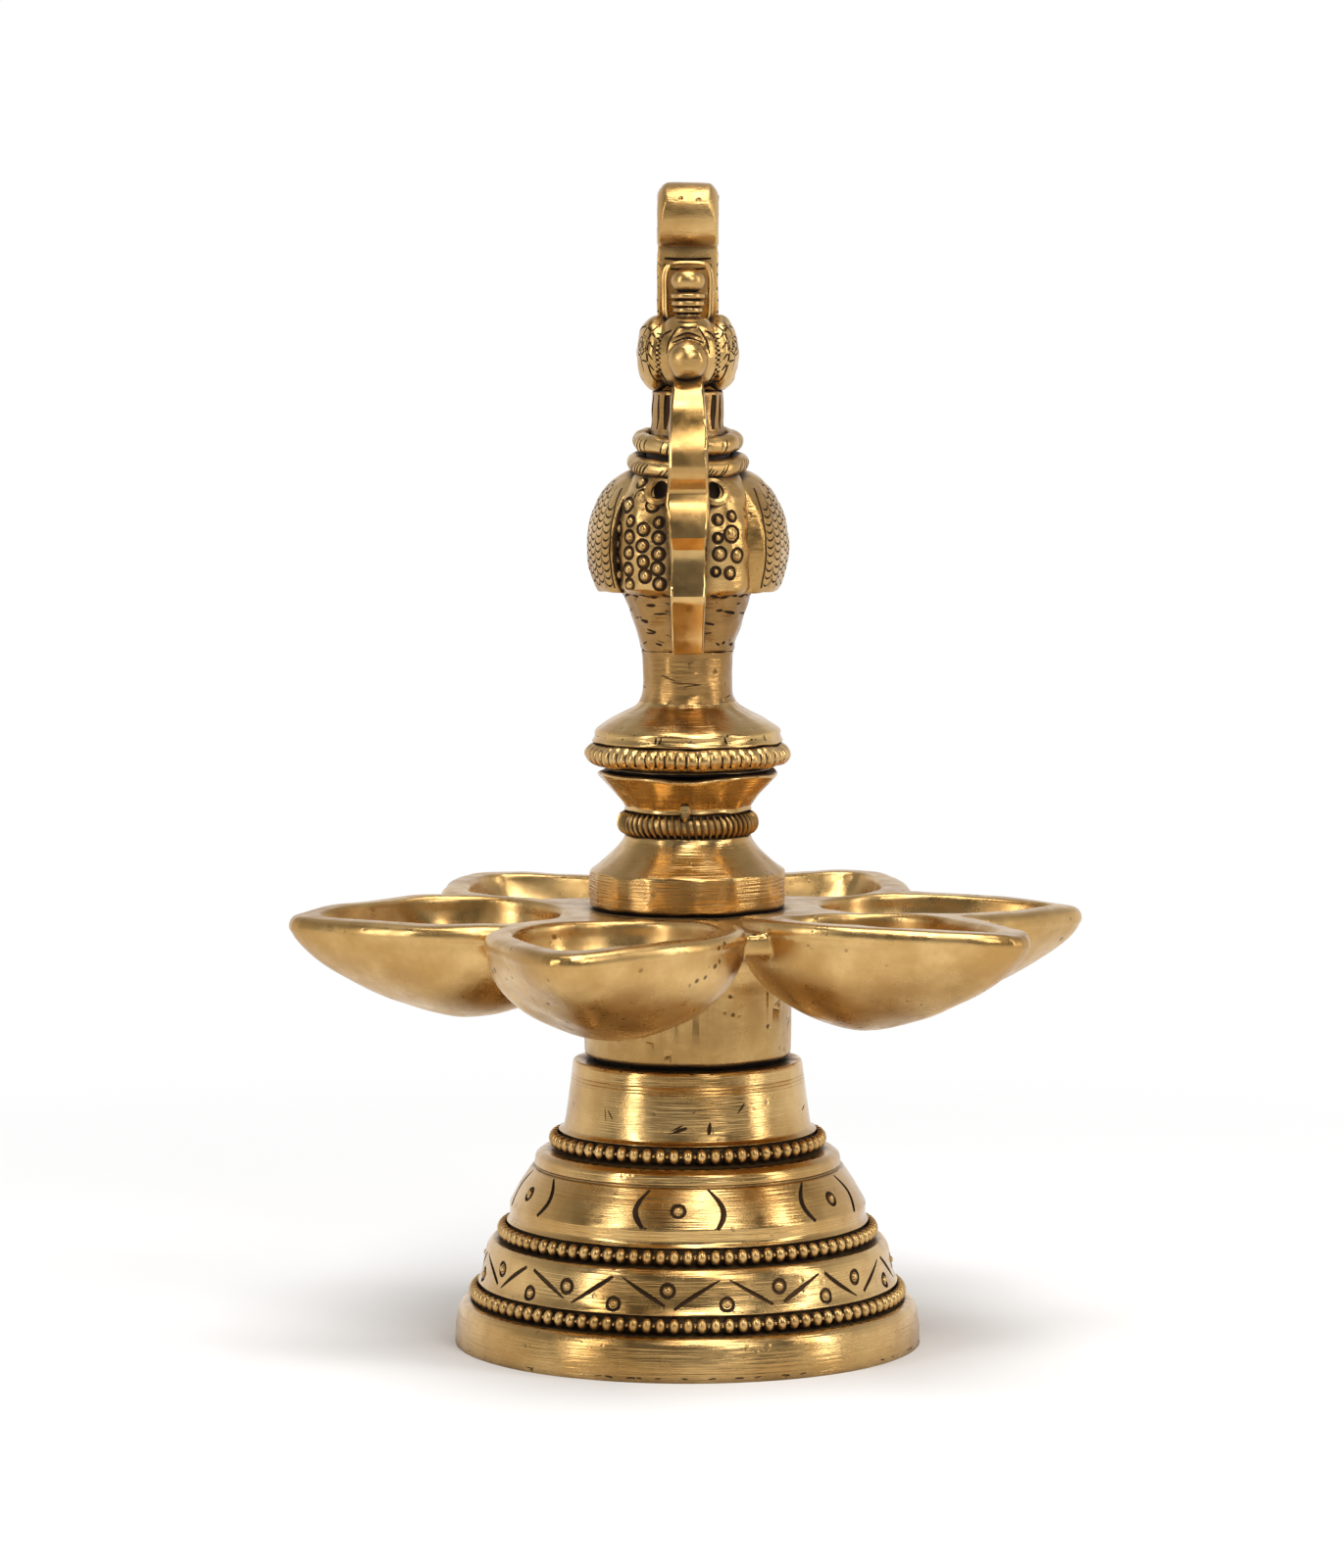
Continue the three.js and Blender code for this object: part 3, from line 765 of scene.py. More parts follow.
def add_world(scene):
    """A white studio that is dimmer behind the camera and overhead, and plain white where it is seen"""
    world = bpy.data.worlds.new("studio")
    world.use_nodes = True
    scene.world = world
    tree = world.node_tree
    tree.nodes.clear()
    path = tree.nodes.new("ShaderNodeLightPath")
    direction = tree.nodes.new("ShaderNodeTexCoord").outputs["Generated"]
    split = tree.nodes.new("ShaderNodeSeparateXYZ")
    tree.links.new(direction, split.inputs[0])
    behind = ramp(tree, split.outputs["Y"], low=-0.45, high=0.45, out_low=0.22, out_high=1.0)
    low = ramp(tree, split.outputs["Z"], low=0.75, high=0.15, out_low=0.45, out_high=1.0)
    studio = math_node(tree, "MULTIPLY", behind, low)
    seen = math_node(tree, "MAXIMUM", path.outputs["Is Camera Ray"], path.outputs["Is Transmission Ray"])
    level = math_node(tree, "MAXIMUM", seen, studio)
    light = tree.nodes.new("ShaderNodeBackground")
    light.inputs["Color"].default_value = (1, 1, 1, 1)
    tree.links.new(level, light.inputs["Strength"])
    end = tree.nodes.new("ShaderNodeOutputWorld")
    tree.links.new(light.outputs[0], end.inputs["Surface"])


def add_floor():
    deselect_all()
    bpy.ops.mesh.primitive_circle_add(vertices=96, radius=FLOOR_RADIUS, fill_type="NGON", location=(0, 0, 0))
    floor = bpy.context.object
    floor.name = "floor"
    material = bpy.data.materials.new("pale_floor")
    material.use_nodes = True
    tree = material.node_tree
    tree.nodes.clear()
    place = tree.nodes.new("ShaderNodeTexCoord").outputs["Object"]
    length = tree.nodes.new("ShaderNodeVectorMath")
    length.operation = "LENGTH"
    tree.links.new(place, length.inputs[0])
    far = ramp(tree, length.outputs["Value"], *FLOOR_FADE)
    matt = tree.nodes.new("ShaderNodeBsdfDiffuse")
    matt.inputs["Color"].default_value = FLOOR_COLOUR
    glow = tree.nodes.new("ShaderNodeEmission")
    glow.inputs["Strength"].default_value = 1.0
    blend = tree.nodes.new("ShaderNodeMixShader")
    end = tree.nodes.new("ShaderNodeOutputMaterial")
    link_nodes(
        tree,
        (far, blend.inputs["Fac"]),
        (matt.outputs[0], blend.inputs[1]),
        (glow.outputs[0], blend.inputs[2]),
        (blend.outputs[0], end.inputs["Surface"]))
    floor.data.materials.append(material)


def add_soft_box(name, azimuth, climb, distance, width, height, brightness):
    light = bpy.data.lights.new(name, "AREA")
    light.shape = "RECTANGLE"
    light.size, light.size_y = width, height
    light.energy = brightness * math.pi * width * height
    box = bpy.data.objects.new(name, light)
    bpy.context.scene.collection.objects.link(box)
    turn, lift = math.radians(azimuth), math.radians(climb)
    towards = Vector((math.sin(turn) * math.cos(lift), -math.cos(turn) * math.cos(lift), math.sin(lift)))
    box.location = Vector(AIM) + distance * towards
    box.rotation_euler = towards.to_track_quat("Z", "Y").to_euler()


class LAMP_OT_cad_finish(bpy.types.Operator):
    """Give the CAD castings their aged brass"""

    bl_idname = "lamp.cad_finish"
    bl_label = "CAD finish"

    def execute(self, context):
        for node in frame["nodes"].values():
            set_material(node, brass_finish("hand_finished_brass"))
        return {"FINISHED"}


# Base

# Outlines are radius, height and the rounding of the corner. Lines on turned faces are radius, height.
FOOT = [
    (46.25, 0, 0), (46.2, 1.2, 0.3), (46.15, 3.5, 1), (45.6, 7.0, 0.7), (44.7, 8.3, 0.5), (43.2, 8.6, 0.3)]
ZIGZAG_BAND = [(41.75, 12.3), (40.95, 13.6), (40.45, 16), (39.95, 19.3)]
BRACKET_BAND = [(35.3, 28.0), (33.3, 31.7), (30.95, 35.2)]
COLLAR = [(24.5, 43.2), (24.15, 45), (22.75, 55.6)]
ZIGZAG_STEP = 30
ZIGZAG_FIRST = 10
ZIGZAG_TOP = 19.3
ZIGZAG_BOTTOM = 13.4
ZIGZAG_RINGS = (14.1, 16.8)
BRACKET_TOP = 35.2
BRACKET_BOTTOM = 27.8
DOT_HEIGHT = 31.3
BRACKET_TURNS = (-3.2, 56.6, 116, 176, 236, 292)
TURNED_LINES = (52.3, 53.0, 53.7)
BEAD_RINGS = (
    ("bead_ring_lower", 10.3, 43.5),
    ("bead_ring_middle", 22.6, 37.9),
    ("bead_ring_upper", 40.7, 27.6),
)


def groove(height, radius):
    """The groove that a beaded wire lies in"""
    return [(radius - 1.0, height - 2.0, 0.3), (radius - 2.75, height - 1.5, 0.7),
            (radius - 2.75, height + 1.4, 0.7), (radius - 1.9, height + 1.85, 0.3)]


def base_outline():
    """Up the outside of the base and down its hollow inside"""
    (_, low, low_radius), (_, middle, middle_radius), (_, high, high_radius) = BEAD_RINGS
    outside = FOOT + groove(low, low_radius)
    outside += [(41.75, 12.35, 0.15), (40.95, 13.6, 0.6), (40.45, 16, 1), (39.95, 19.3, 0.8),
                (38.9, 20.8, 0.4)]
    outside += groove(middle, middle_radius)
    outside += [(35.75, 24.7, 0.2), (35.3, 25.3, 0.3), (35.35, 27.9, 0.35), (33.3, 31.7, 1),
                (31.0, 35.15, 0.25), (30.2, 35.25, 0.15), (30.2, 35.55, 0.1), (30.45, 35.8, 0.2),
                (30.2, 37.6, 0.5), (29.0, 38.5, 0.4)]
    outside += groove(high, high_radius)
    outside += [(25.0, 42.9, 0.2), (24.5, 43.3, 0.3), (24.15, 45, 1)]
    for line_height in TURNED_LINES:
        line_radius = radius_at(COLLAR, line_height)
        outside += [(line_radius, line_height - 0.16), (line_radius - 0.12, line_height),
                    (line_radius - 0.02, line_height + 0.16)]
    outside += [(22.75, 55.9, 0.15), (22.5, 56.4, 0.1), (22.0, 56.5, 0.05)]
    inside = [(5.06, 56.5, 0), (5.06, 42.5, 0), (9, 42.5, 0.6), (9.8, 50.6, 1.2), (17, 50.6, 2.5),
              (25, 36, 2), (34.2, 18.5, 2), (41.2, 5, 2), (41.2, 0, 0)]
    return rounded(outside + inside)


def zigzag_marks():
    """A zigzag of separate chisel strokes; the punched rings in its angles are made by punched_rings"""
    shake = random.Random(12)
    strokes = []
    for index in range(sizes().zigzag_count):
        peak = ZIGZAG_FIRST + ZIGZAG_STEP * index
        for side in (-1, 1):
            inner = 1.2 + shake.uniform(-0.4, 0.6)
            top = (peak + side * inner, ZIGZAG_TOP - shake.uniform(0, 0.7))
            outer = 13.6 + shake.uniform(-0.6, 0.6)
            bottom = (peak + side * outer, ZIGZAG_BOTTOM + shake.uniform(-0.2, 0.9))
            ends = (top, bottom) if shake.random() < 0.7 else (bottom, top)
            strokes.append(stroke_on(*ends, ZIGZAG_BAND, out=0.08, taper=(0.2, shake.uniform(0.8, 1.1)),
                                     bulge=shake.uniform(-0.7, 0.7)))
    return strokes


def punched_rings():
    """Azimuth, height, band and radius of each ring"""
    shake = random.Random(5)
    low, high = ZIGZAG_RINGS
    spots = []
    for index in range(sizes().zigzag_count):
        peak = ZIGZAG_FIRST + ZIGZAG_STEP * index
        dip = peak + ZIGZAG_STEP / 2
        spots.append((peak + shake.uniform(-1, 1.5), low + shake.uniform(-0.1, 0.2), ZIGZAG_BAND, 1.27))
        spots.append((dip + shake.uniform(-1.5, 1.5), high + shake.uniform(-0.4, 0.4), ZIGZAG_BAND, 1.3))
    for turn in BRACKET_TURNS:
        spots.append((turn, DOT_HEIGHT, BRACKET_BAND, 1.25))
    return spots


def bracket_marks():
    """Pairs of curved cuts that bow outwards, one pair round each dot"""
    shake = random.Random(8)
    strokes = []
    for middle in BRACKET_TURNS:
        for side in (-1, 1):
            start = (middle + side * (10.8 + shake.uniform(-0.7, 0.7)), BRACKET_TOP - shake.uniform(0, 0.3))
            end = (middle + side * (11.8 + shake.uniform(-0.7, 0.7)), BRACKET_BOTTOM + shake.uniform(0, 0.3))
            strokes.append(stroke_on(start, end, BRACKET_BAND, out=0.06, steps=14, taper=(0.3, 1.35),
                                     bulge=side * 3.6))
    return strokes


# Start, end and width of the tool marks on the collar, as azimuth, height
COLLAR_CUTS = (
    ((-9, 44.9), (-2.5, 46.6), 0.7), ((-9, 44.9), (-0.5, 46.0), 1.3), ((10.5, 47.3), (9.6, 44.7), 1.5),
    ((11.6, 46.6), (11.9, 45.0), 0.5), ((1, 48.6), (4, 49.3), 0.5), ((24, 48.5), (28, 50.4), 0.8),
    ((-44, 50), (-42, 46.5), 0.5), ((70, 47), (76, 48), 0.8), ((140, 46), (149, 47.6), 0.9),
    ((205, 49), (211, 48), 0.6), ((262, 45.5), (268, 46.5), 1.0), ((318, 49), (322, 47), 0.6))
# Radius and height of the base's edges, and how many nicks each has
BASE_NICKS = (
    (46.2, 0.9, 46), (45.6, 7.1, 14), (40.2, 19.4, 12), (35.3, 28.0, 14), (30.3, 37.7, 10), (22.5, 56.3, 22))


def collar_marks():
    return [stroke_on(start, end, COLLAR, out=0.1, steps=4, taper=(THINNEST_CUT, width))
            for start, end, width in COLLAR_CUTS]


def edge_nicks(edges, seed):
    """Small dents in the edges of a turned piece: each edge is radius, height, count"""
    shake = random.Random(seed)
    cuts = []
    for radius, height, count in edges:
        line = [(radius, height - 1), (radius, height + 1)]
        for _ in range(count):
            azimuth = shake.uniform(0, 360)
            length = shake.uniform(0.4, 2.4)
            rise = shake.uniform(-0.12, 0.12)
            start, end = (azimuth, height + rise), (azimuth + length, height - rise)
            depth = shake.uniform(0.0, 0.12)
            width = shake.uniform(0.4, 0.9)
            cuts.append(stroke_on(start, end, line, out=depth, steps=3, taper=(0.2, width)))
    return cuts


class LAMP_OT_base(bpy.types.Operator):
    """Turn the hollow base and engrave its zigzag, brackets and dots"""

    bl_idname = "lamp.base"
    bl_label = "Base"

    def execute(self, context):
        brass = brass_finish("turned_brass")
        base = turned("turned_base", base_outline(), steps=240, closed=True)
        hand_turned(base, 0.12, rise=0.4)
        for vertex in base.data.vertices:
            vertex.co.z = max(0, vertex.co.z)
        base.data.materials.append(brass)
        line = sizes().groove_width / MM
        spots = punched_rings()
        domes = []
        for azimuth, height, band, size in spots:
            facing = Matrix.Rotation(math.radians(azimuth), 4, "Z")
            centre = on_cone(azimuth, height, band, -0.1)
            dome = ball("dome", centre, (size * 0.6, 0.6, size * 0.6), 12, 8, facing)
            dome.data.materials.append(brass)
            domes.append(dome)
        rings = [ring_on(azimuth, height, band, size, out=0.1) for azimuth, height, band, size in spots]
        engrave(base, "ring_punch", rings, line * 1.25)
        combine(base, joined("domes", domes), "UNION")
        engrave(base, "zigzag", zigzag_marks(), line * 1.6)
        engrave(base, "brackets", bracket_marks(), line * 1.4)
        engrave(base, "collar_cuts", collar_marks(), line)
        engrave(base, "nicks", edge_nicks(BASE_NICKS, seed=3), 0.5)
        finish_piece(base, "base_pedestal", 32)
        return {"FINISHED"}


BEAD_RADIUS = 1.28
BEAD_HALF_HEIGHT = 1.5
LINK_RADIUS = 0.4
WIRE_RADIUS = 0.6


class LAMP_OT_bead_rings(bpy.types.Operator):
    """Lay a beaded wire in each groove of the base"""

    bl_idname = "lamp.bead_rings"
    bl_label = "Beaded wires"

    def execute(self, context):
        metal = brass_finish("chased_brass")
        half_bead = sizes().bead_width / 2 / MM
        for name, height, radius in BEAD_RINGS:
            pitch = sizes().bead_pitch / MM
            middle = radius - BEAD_RADIUS
            count = round(2 * math.pi * middle / pitch)
            bead = ball("bead", (0, -middle, height), (half_bead, BEAD_RADIUS, BEAD_HALF_HEIGHT), 12, 7)
            bead = repeat_round(bead, count)
            half = math.pi / count
            spot = (middle + 0.15) * Vector((math.sin(half), -math.cos(half), 0)) + Vector((0, 0, height))
            link = repeat_round(ball("link", spot, (LINK_RADIUS,) * 3, 8, 5), count)
            section = []
            for corner in range(8):
                angle = math.radians(45 * corner)
                reach = middle - 0.85 + WIRE_RADIUS * math.cos(angle)
                section.append((reach, height + WIRE_RADIUS * math.sin(angle)))
            core = turned("wire", section, steps=count, closed=True)
            ring = joined(name + "_wire", [core, bead, link])
            smooth(ring, 60)
            hand_over(ring, name, metal)
        return {"FINISHED"}


# Stem and finial foot

STEM_OUTLINE = [
    (0, 87, 0), (18.8, 87, 0.3), (19.35, 87.5, 0.4), (19.5, 90.5, 1), (19.5, 93.7, 0.3), (19.2, 94.2, 0.3),
    (17.2, 95.6, 1), (14.1, 98.3, 1.5), (12.6, 100.3, 0.8), (12.45, 101.1, 0.3), (11.7, 101.6, 0.3),
    (11.7, 105.8, 0.3), (12.6, 106.2, 0.3), (12.35, 106.9, 0.4), (13.4, 108.4, 1.5), (17.7, 113.1, 0.2),
    (17.75, 113.5, 0.15), (17.4, 113.8, 0.1), (0, 113.8, 0)]
CONE = [(19.2, 94.3), (17.2, 95.6), (14.1, 98.3), (12.5, 100.4)]
CUP = [(12.2, 107.2), (17.75, 113.2)]
# Height, distance from the cup's face and width of the drip that ran down from the cup's dip
DRIP = ((107.6, -0.2, 1.2), (106.4, 0.5, 1.0), (105.5, 0.95, 0.7), (104.7, 0.9, 0.2))
DRIP_AZIMUTH = -2.5
STEM_NICKS = ((19.4, 87.3, 18), (19.3, 94.0, 10), (17.75, 113.5, 12))
# The cup's rim lies above this height and beyond this radius
CUP_RIM = (112.6, 16.5)
# Depth, azimuth and half-width of the dip in the rim, then depth and length of the waves in it
RIM_DIP = (0.75, -4, 17)
RIM_WAVES = (0.15, 9)
FOOT_OUTLINE = [
    (0, 114.3, 0), (16.4, 114.3, 0.3), (15.9, 115, 0.3), (15.9, 119.4, 0.3), (18.6, 119.5, 0.3),
    (18.9, 119.9, 0.2), (18.3, 120.9, 0.4), (18.45, 121.7, 0.3), (18.1, 122.3, 0.5), (15.4, 124.1, 1.5),
    (12.2, 125.6, 1.2), (9.9, 126.8, 1.2), (8.9, 128.6, 1), (8.75, 132, 1.5), (8.85, 136.8, 0.5),
    (9.1, 137.6, 0.2), (0, 137.6, 0)]
FOOT_FLANGE = [(18.4, 119.8), (18.4, 122.3)]
FOOT_NECK = [(9.6, 127.2), (8.9, 128.6), (8.75, 132), (8.85, 137)]
FOOT_NICKS = ((18.3, 121.0, 16), (18.35, 122.0, 16), (8.85, 137.4, 4))


def file_marks(shake, count, edge_line, low, high, turn, rise, out, steps, taper):
    """Scattered cuts on a turned face. turn, rise and the end of taper are ranges to draw from."""
    cuts = []
    for _ in range(count):
        azimuth = shake.uniform(0, 360)
        height = shake.uniform(low, high)
        end = (azimuth + shake.uniform(*turn), height + shake.uniform(*rise))
        cuts.append(stroke_on((azimuth, height), end, edge_line, out=out, steps=steps,
                              taper=(taper[0], shake.uniform(*taper[1:]))))
    return cuts


def filed_facets(piece, low, high, radius, count, depth, seed):
    """Flatten the side of a drum into uneven hand-filed facets"""
    shake = random.Random(seed)
    centres = [(index + shake.uniform(-0.18, 0.18)) * 2 * math.pi / count for index in range(count)]
    depths = [depth * shake.uniform(0.6, 1.5) for _ in range(count)]
    facets = list(zip(centres, depths))
    for vertex in piece.data.vertices:
        x, y, z = vertex.co
        if not low * MM < z < high * MM or math.hypot(x, y) < radius * 0.9 * MM:
            continue
        angle = math.atan2(y, x)
        reach = min((radius - deep) / math.cos(angle - centre) for centre, deep in facets
                    if math.cos(angle - centre) > 0.8)
        part = min(1.0, reach * MM / math.hypot(x, y))
        vertex.co = (x * part, y * part, z)


class LAMP_OT_stem(bpy.types.Operator):
    """Turn the stem, file its drum and nick its edges"""

    bl_idname = "lamp.stem"
    bl_label = "Stem"

    def execute(self, context):
        stem = turned("turned_stem", rounded(STEM_OUTLINE), steps=180)
        hand_turned(stem, 0.22, reach=5)
        filed_facets(stem, low=87.2, high=94.4, radius=19.5, count=15, depth=0.22, seed=4)
        self.wavy_rim(stem)
        stem.data.materials.append(brass_finish("turned_brass"))
        drip = [(on_cone(DRIP_AZIMUTH, height, CUP, out), width) for height, out, width in DRIP]
        combine(stem, graver_marks("drip", [(False, drip)], 2.2, brass_finish("turned_brass")), "UNION")
        cuts = file_marks(random.Random(6), 26, CONE, 94.6, 99.6, turn=(2, 8), rise=(-0.5, 0.5),
                          out=0.12, steps=4, taper=(0.2, 0.3, 0.6))
        cuts += edge_nicks(STEM_NICKS, seed=14)
        engrave(stem, "scratches", cuts, 0.55)
        finish_piece(stem, "stem", 32)
        return {"FINISHED"}

    def wavy_rim(self, stem):
        """Sink the rim of the cup where it dips, and wave it a little all round"""
        low, inner = CUP_RIM
        dip, dip_azimuth, dip_width = RIM_DIP
        wave, wave_length = RIM_WAVES
        for vertex in stem.data.vertices:
            azimuth = math.degrees(math.atan2(vertex.co.x, -vertex.co.y))
            if vertex.co.z > low * MM and vertex.co.xy.length > inner * MM:
                sunk = dip * math.exp(-((azimuth - dip_azimuth) / dip_width) ** 2)
                vertex.co.z -= (sunk + wave * math.sin(azimuth / wave_length)) * MM


class LAMP_OT_finial_foot(bpy.types.Operator):
    """Turn the domed foot of the finial"""

    bl_idname = "lamp.finial_foot"
    bl_label = "Finial foot"

    def execute(self, context):
        foot = turned("domed_foot", rounded(FOOT_OUTLINE), steps=160)
        hand_turned(foot, 0.25, reach=5)
        foot.data.materials.append(brass_finish("turned_brass"))
        cuts = edge_nicks(FOOT_NICKS, seed=21)
        shake = random.Random(17)
        for _ in range(9):
            azimuth = shake.uniform(0, 360)
            end = (azimuth + shake.uniform(-3, 3), 120.2)
            cuts.append(stroke_on((azimuth, 121.8), end, FOOT_FLANGE, out=0.05, steps=3,
                                  taper=(0.2, shake.uniform(0.6, 1.2))))
        for _ in range(16):
            azimuth = shake.uniform(0, 360)
            height = shake.uniform(127.6, 136.5)
            end = (azimuth + shake.uniform(8, 40), height + shake.uniform(-0.6, 0.6))
            cuts.append(stroke_on((azimuth, height), end, FOOT_NECK, out=0.1, steps=8, taper=(0.2, 0.5)))
        engrave(foot, "scratches", cuts, 0.5)
        # Painted shade with darker patina on the finial's neck under the body
        darken_band(foot, low=127.6, high=138)
        finish_piece(foot, "finial_foot", 32)
        return {"FINISHED"}


class Ring:
    """The round section of a ring: its middle's distance from the axis, its height, and its half-sizes"""

    def __init__(self, middle, height, across, up):
        self.middle, self.height, self.across, self.up = middle, height, across, up

    def section(self, neck):
        """The section as radius and height, flattened against the neck inside it"""
        points = []
        for step in range(24):
            angle = 2 * math.pi * step / 24
            radius = max(neck, self.middle + self.across * math.cos(angle))
            points.append((radius, self.height + self.up * math.sin(angle)))
        return points

    def skin_point(self, azimuth, climb, out=0.0):
        """A point on the skin: climb is the angle up from the outermost line, in degrees"""
        angle = math.radians(azimuth)
        lift = math.radians(climb)
        radius = self.middle + (self.across + out) * math.cos(lift)
        height = self.height + (self.up + out) * math.sin(lift)
        return Vector((radius * math.sin(angle), -radius * math.cos(angle), height))


FIN_RING = Ring(12.1, 103.6, 1.15, 1.7)
FIN_COUNT = 58
FIN_SLANT = -9
FIN_MIDDLE = 12.3
FIN_RADII = (0.42, 1.75, 2.25)
ROPE_RING = Ring(17.95, 117.25, 2.45, 2.15)
ROPE_COUNT = 56
# Climb at which the rope's cuts start, and round which they end
ROPE_CUT_TOP = 36
ROPE_CUT_BOTTOM = -54
# Depth and half-width of the valleys between the strands, and the climbs between which they fade out
VALLEY_DEPTH = 0.42
VALLEY_WIDTH = 1.1
VALLEY_FADE = (50, 75)


class LAMP_OT_rope_rings(bpy.types.Operator):
    """Put the finned ring round the stem's waist and the nicked rope ring under the finial"""

    bl_idname = "lamp.rope_rings"
    bl_label = "Rope rings"

    def execute(self, context):
        self.finned_ring()
        self.rope_ring()
        return {"FINISHED"}

    def finned_ring(self):
        metal = brass_finish("chased_brass")
        core = turned("core", FIN_RING.section(neck=11.8), steps=120, closed=True)
        slant = Matrix.Rotation(math.radians(FIN_SLANT), 4, "Y")
        fin = ball("fin", (0, -FIN_MIDDLE, FIN_RING.height), FIN_RADII, 8, 10, slant)
        ring = joined("finned_ring", [core, repeat_round(fin, FIN_COUNT)])
        smooth(ring, 60)
        hand_over(ring, "stem_rope_ring", metal)

    def rope_ring(self):
        ring = turned("rope_ring", ROPE_RING.section(neck=16.05), steps=8 * ROPE_COUNT, closed=True)
        shake = random.Random(31)
        turns = [(index + shake.uniform(-0.16, 0.16)) * 360 / ROPE_COUNT for index in range(ROPE_COUNT)]
        self.pinch(ring, turns)
        hand_turned(ring, 0.3, reach=3)
        ring.data.materials.append(brass_finish("chased_brass"))
        cuts = []
        for azimuth in turns:
            bottom = ROPE_CUT_BOTTOM + shake.uniform(-5, 5)
            points = []
            for step in range(9):
                climb = ROPE_CUT_TOP + (bottom - ROPE_CUT_TOP) * step / 8
                width = 1.2 if step > 6 else 0.5 + 0.1 * math.sin(step)
                points.append((ROPE_RING.skin_point(azimuth, climb, -0.38), width))
            cuts.append((False, points))
        engrave(ring, "rope_cuts", cuts, 0.75)
        finish_piece(ring, "finial_rope_ring", 40)

    def pinch(self, ring, turns):
        """Sink a valley into the rope ring at each of the turns, which are in degrees"""
        shape = ROPE_RING
        full, end = VALLEY_FADE
        for vertex in ring.data.vertices:
            x, y, z = vertex.co / MM
            outward = math.hypot(x, y) - shape.middle
            climb = math.degrees(math.atan2((z - shape.height) / shape.up, outward / shape.across))
            if abs(climb) > end:
                continue
            azimuth = math.degrees(math.atan2(x, -y)) % 360
            nearest = min(min(abs(azimuth - turn), 360 - abs(azimuth - turn)) for turn in turns)
            fade = min(1, (end - abs(climb)) / (end - full))
            depth = VALLEY_DEPTH * math.exp(-(nearest / VALLEY_WIDTH) ** 2) * fade
            inward = 1 - depth / math.hypot(x, y)
            sunk = z - depth * 0.6 * math.sin(math.radians(climb))
            vertex.co = Vector((x * inward, y * inward, sunk)) * MM


# Joints between the sections

STUDS = (("tray_stud", 5.0), ("stem_stud", 5.0), ("finial_stud", 4.0))
THREAD_PITCH = 2.0
THREAD_STEPS = 24
# Washers and the radius of their holes
WASHERS = (("tray_washer", 5.4), ("stem_washer", 5.4), ("finial_washer", 4.4))


class LAMP_OT_joints(bpy.types.Operator):
    """Cut the threads of the studs and lay the washers"""

    bl_idname = "lamp.joints"
    bl_label = "Studs and washers"

    def execute(self, context):
        brass = brass_finish("turned_brass")
        for name, radius in STUDS:
            low, high = (corner[2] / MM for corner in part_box(name))
            side = radius - 0.02
            stud = turned("threaded_" + name, rounded([
                (0, low, 0), (radius - 1, low, 0.1), (side, low + 1, 0.1), (side, high - 1, 0.1),
                (radius - 1, high, 0.1), (0, high, 0)]), steps=48)
            stud.data.materials.append(brass)
            points = []
            reach = radius + 0.12
            turns = (high - low + 2 * THREAD_PITCH) / THREAD_PITCH
            for step in range(int(turns * THREAD_STEPS)):
                angle = 2 * math.pi * step / THREAD_STEPS
                height = low - THREAD_PITCH + THREAD_PITCH * step / THREAD_STEPS
                points.append(((reach * math.cos(angle), reach * math.sin(angle), height), 1.0))
            combine(stud, graver_marks("thread", [(False, points)], 1.5), "DIFFERENCE")
            smooth(stud, 35)
            hand_over(stud, name)
        # The washers are near-black: painted shade for the shadowed gap at each joint
        washer_shade = washer_shade_material()
        for name, inner in WASHERS:
            (_, _, low), (reach, _, high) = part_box(name)
            outer, low, high = reach / MM, low / MM, high / MM
            edge = (high - low) / 3
            outline = rounded([(inner, low, 0), (outer, low, edge), (outer, high, edge), (inner, high, 0)])
            washer = turned("shaded_washer_" + name, outline, steps=96, closed=True)
            smooth(washer, 50)
            hand_over(washer, name, washer_shade)
        return {"FINISHED"}


# Oil tray

TRAY_TOP = 86.5
# Azimuth of each bowl, distance of its nose from the axis, how far its nose and its side are bent up, and the
# half-width of its hollow
BOWLS = (
    (10, 79.5, -1.1, 0, 17.8),
    (62, 79.9, 0.3, 0, 18.6),
    (124, 77.1, 0.6, 0, 19.4),
    (190, 78.7, 0.1, -1.3, 19.4),
    (252, 76.9, -0.4, 1.2, 19.4),
    (320, 82.2, 0.8, -2.8, 17.8),
)
BOWL_CENTRE = 45
BOWL_HALF_WIDTH = 24.6
BOWL_BOTTOM = 65.9
HOLLOW_CENTRE = 45
HOLLOW_BOTTOM = 69.6
NOSE = 6.2
NOSE_BLUNTNESS = 0.13
RIM_EDGE = 83.3
LEAF_STEPS = 96
# How far in from the leaf's edge and at what height the rim and the lip of the hollow run
RIM = ((-0.1, RIM_EDGE), (-0.55, RIM_EDGE + 0.4), (-0.5, 84.9), (0.1, 85.9), (1.1, 86.4), (2.3, TRAY_TOP))
LIP = ((-0.2, TRAY_TOP - 0.5), (-0.7, TRAY_TOP), (-1.2, TRAY_TOP + 3))
WEB_OUTLINE = [
    (0, 57.3, 0), (19.9, 57.3, 0.15), (20.3, 57.9, 0.2), (20.4, 61, 1), (20.6, 74, 2), (22.5, 78.5, 2),
    (27, 81, 2), (45.5, 81.5, 1.5), (47.5, 83, 0.8), (47.5, 86, 0.6), (46.5, 86.5, 0.4), (0, 86.5, 0)]
BORE_OUTLINE = [(0, 50), (5.3, 50), (5.3, 90), (0, 90)]
HUB = [(20.3, 57.9), (20.4, 61), (20.6, 74)]


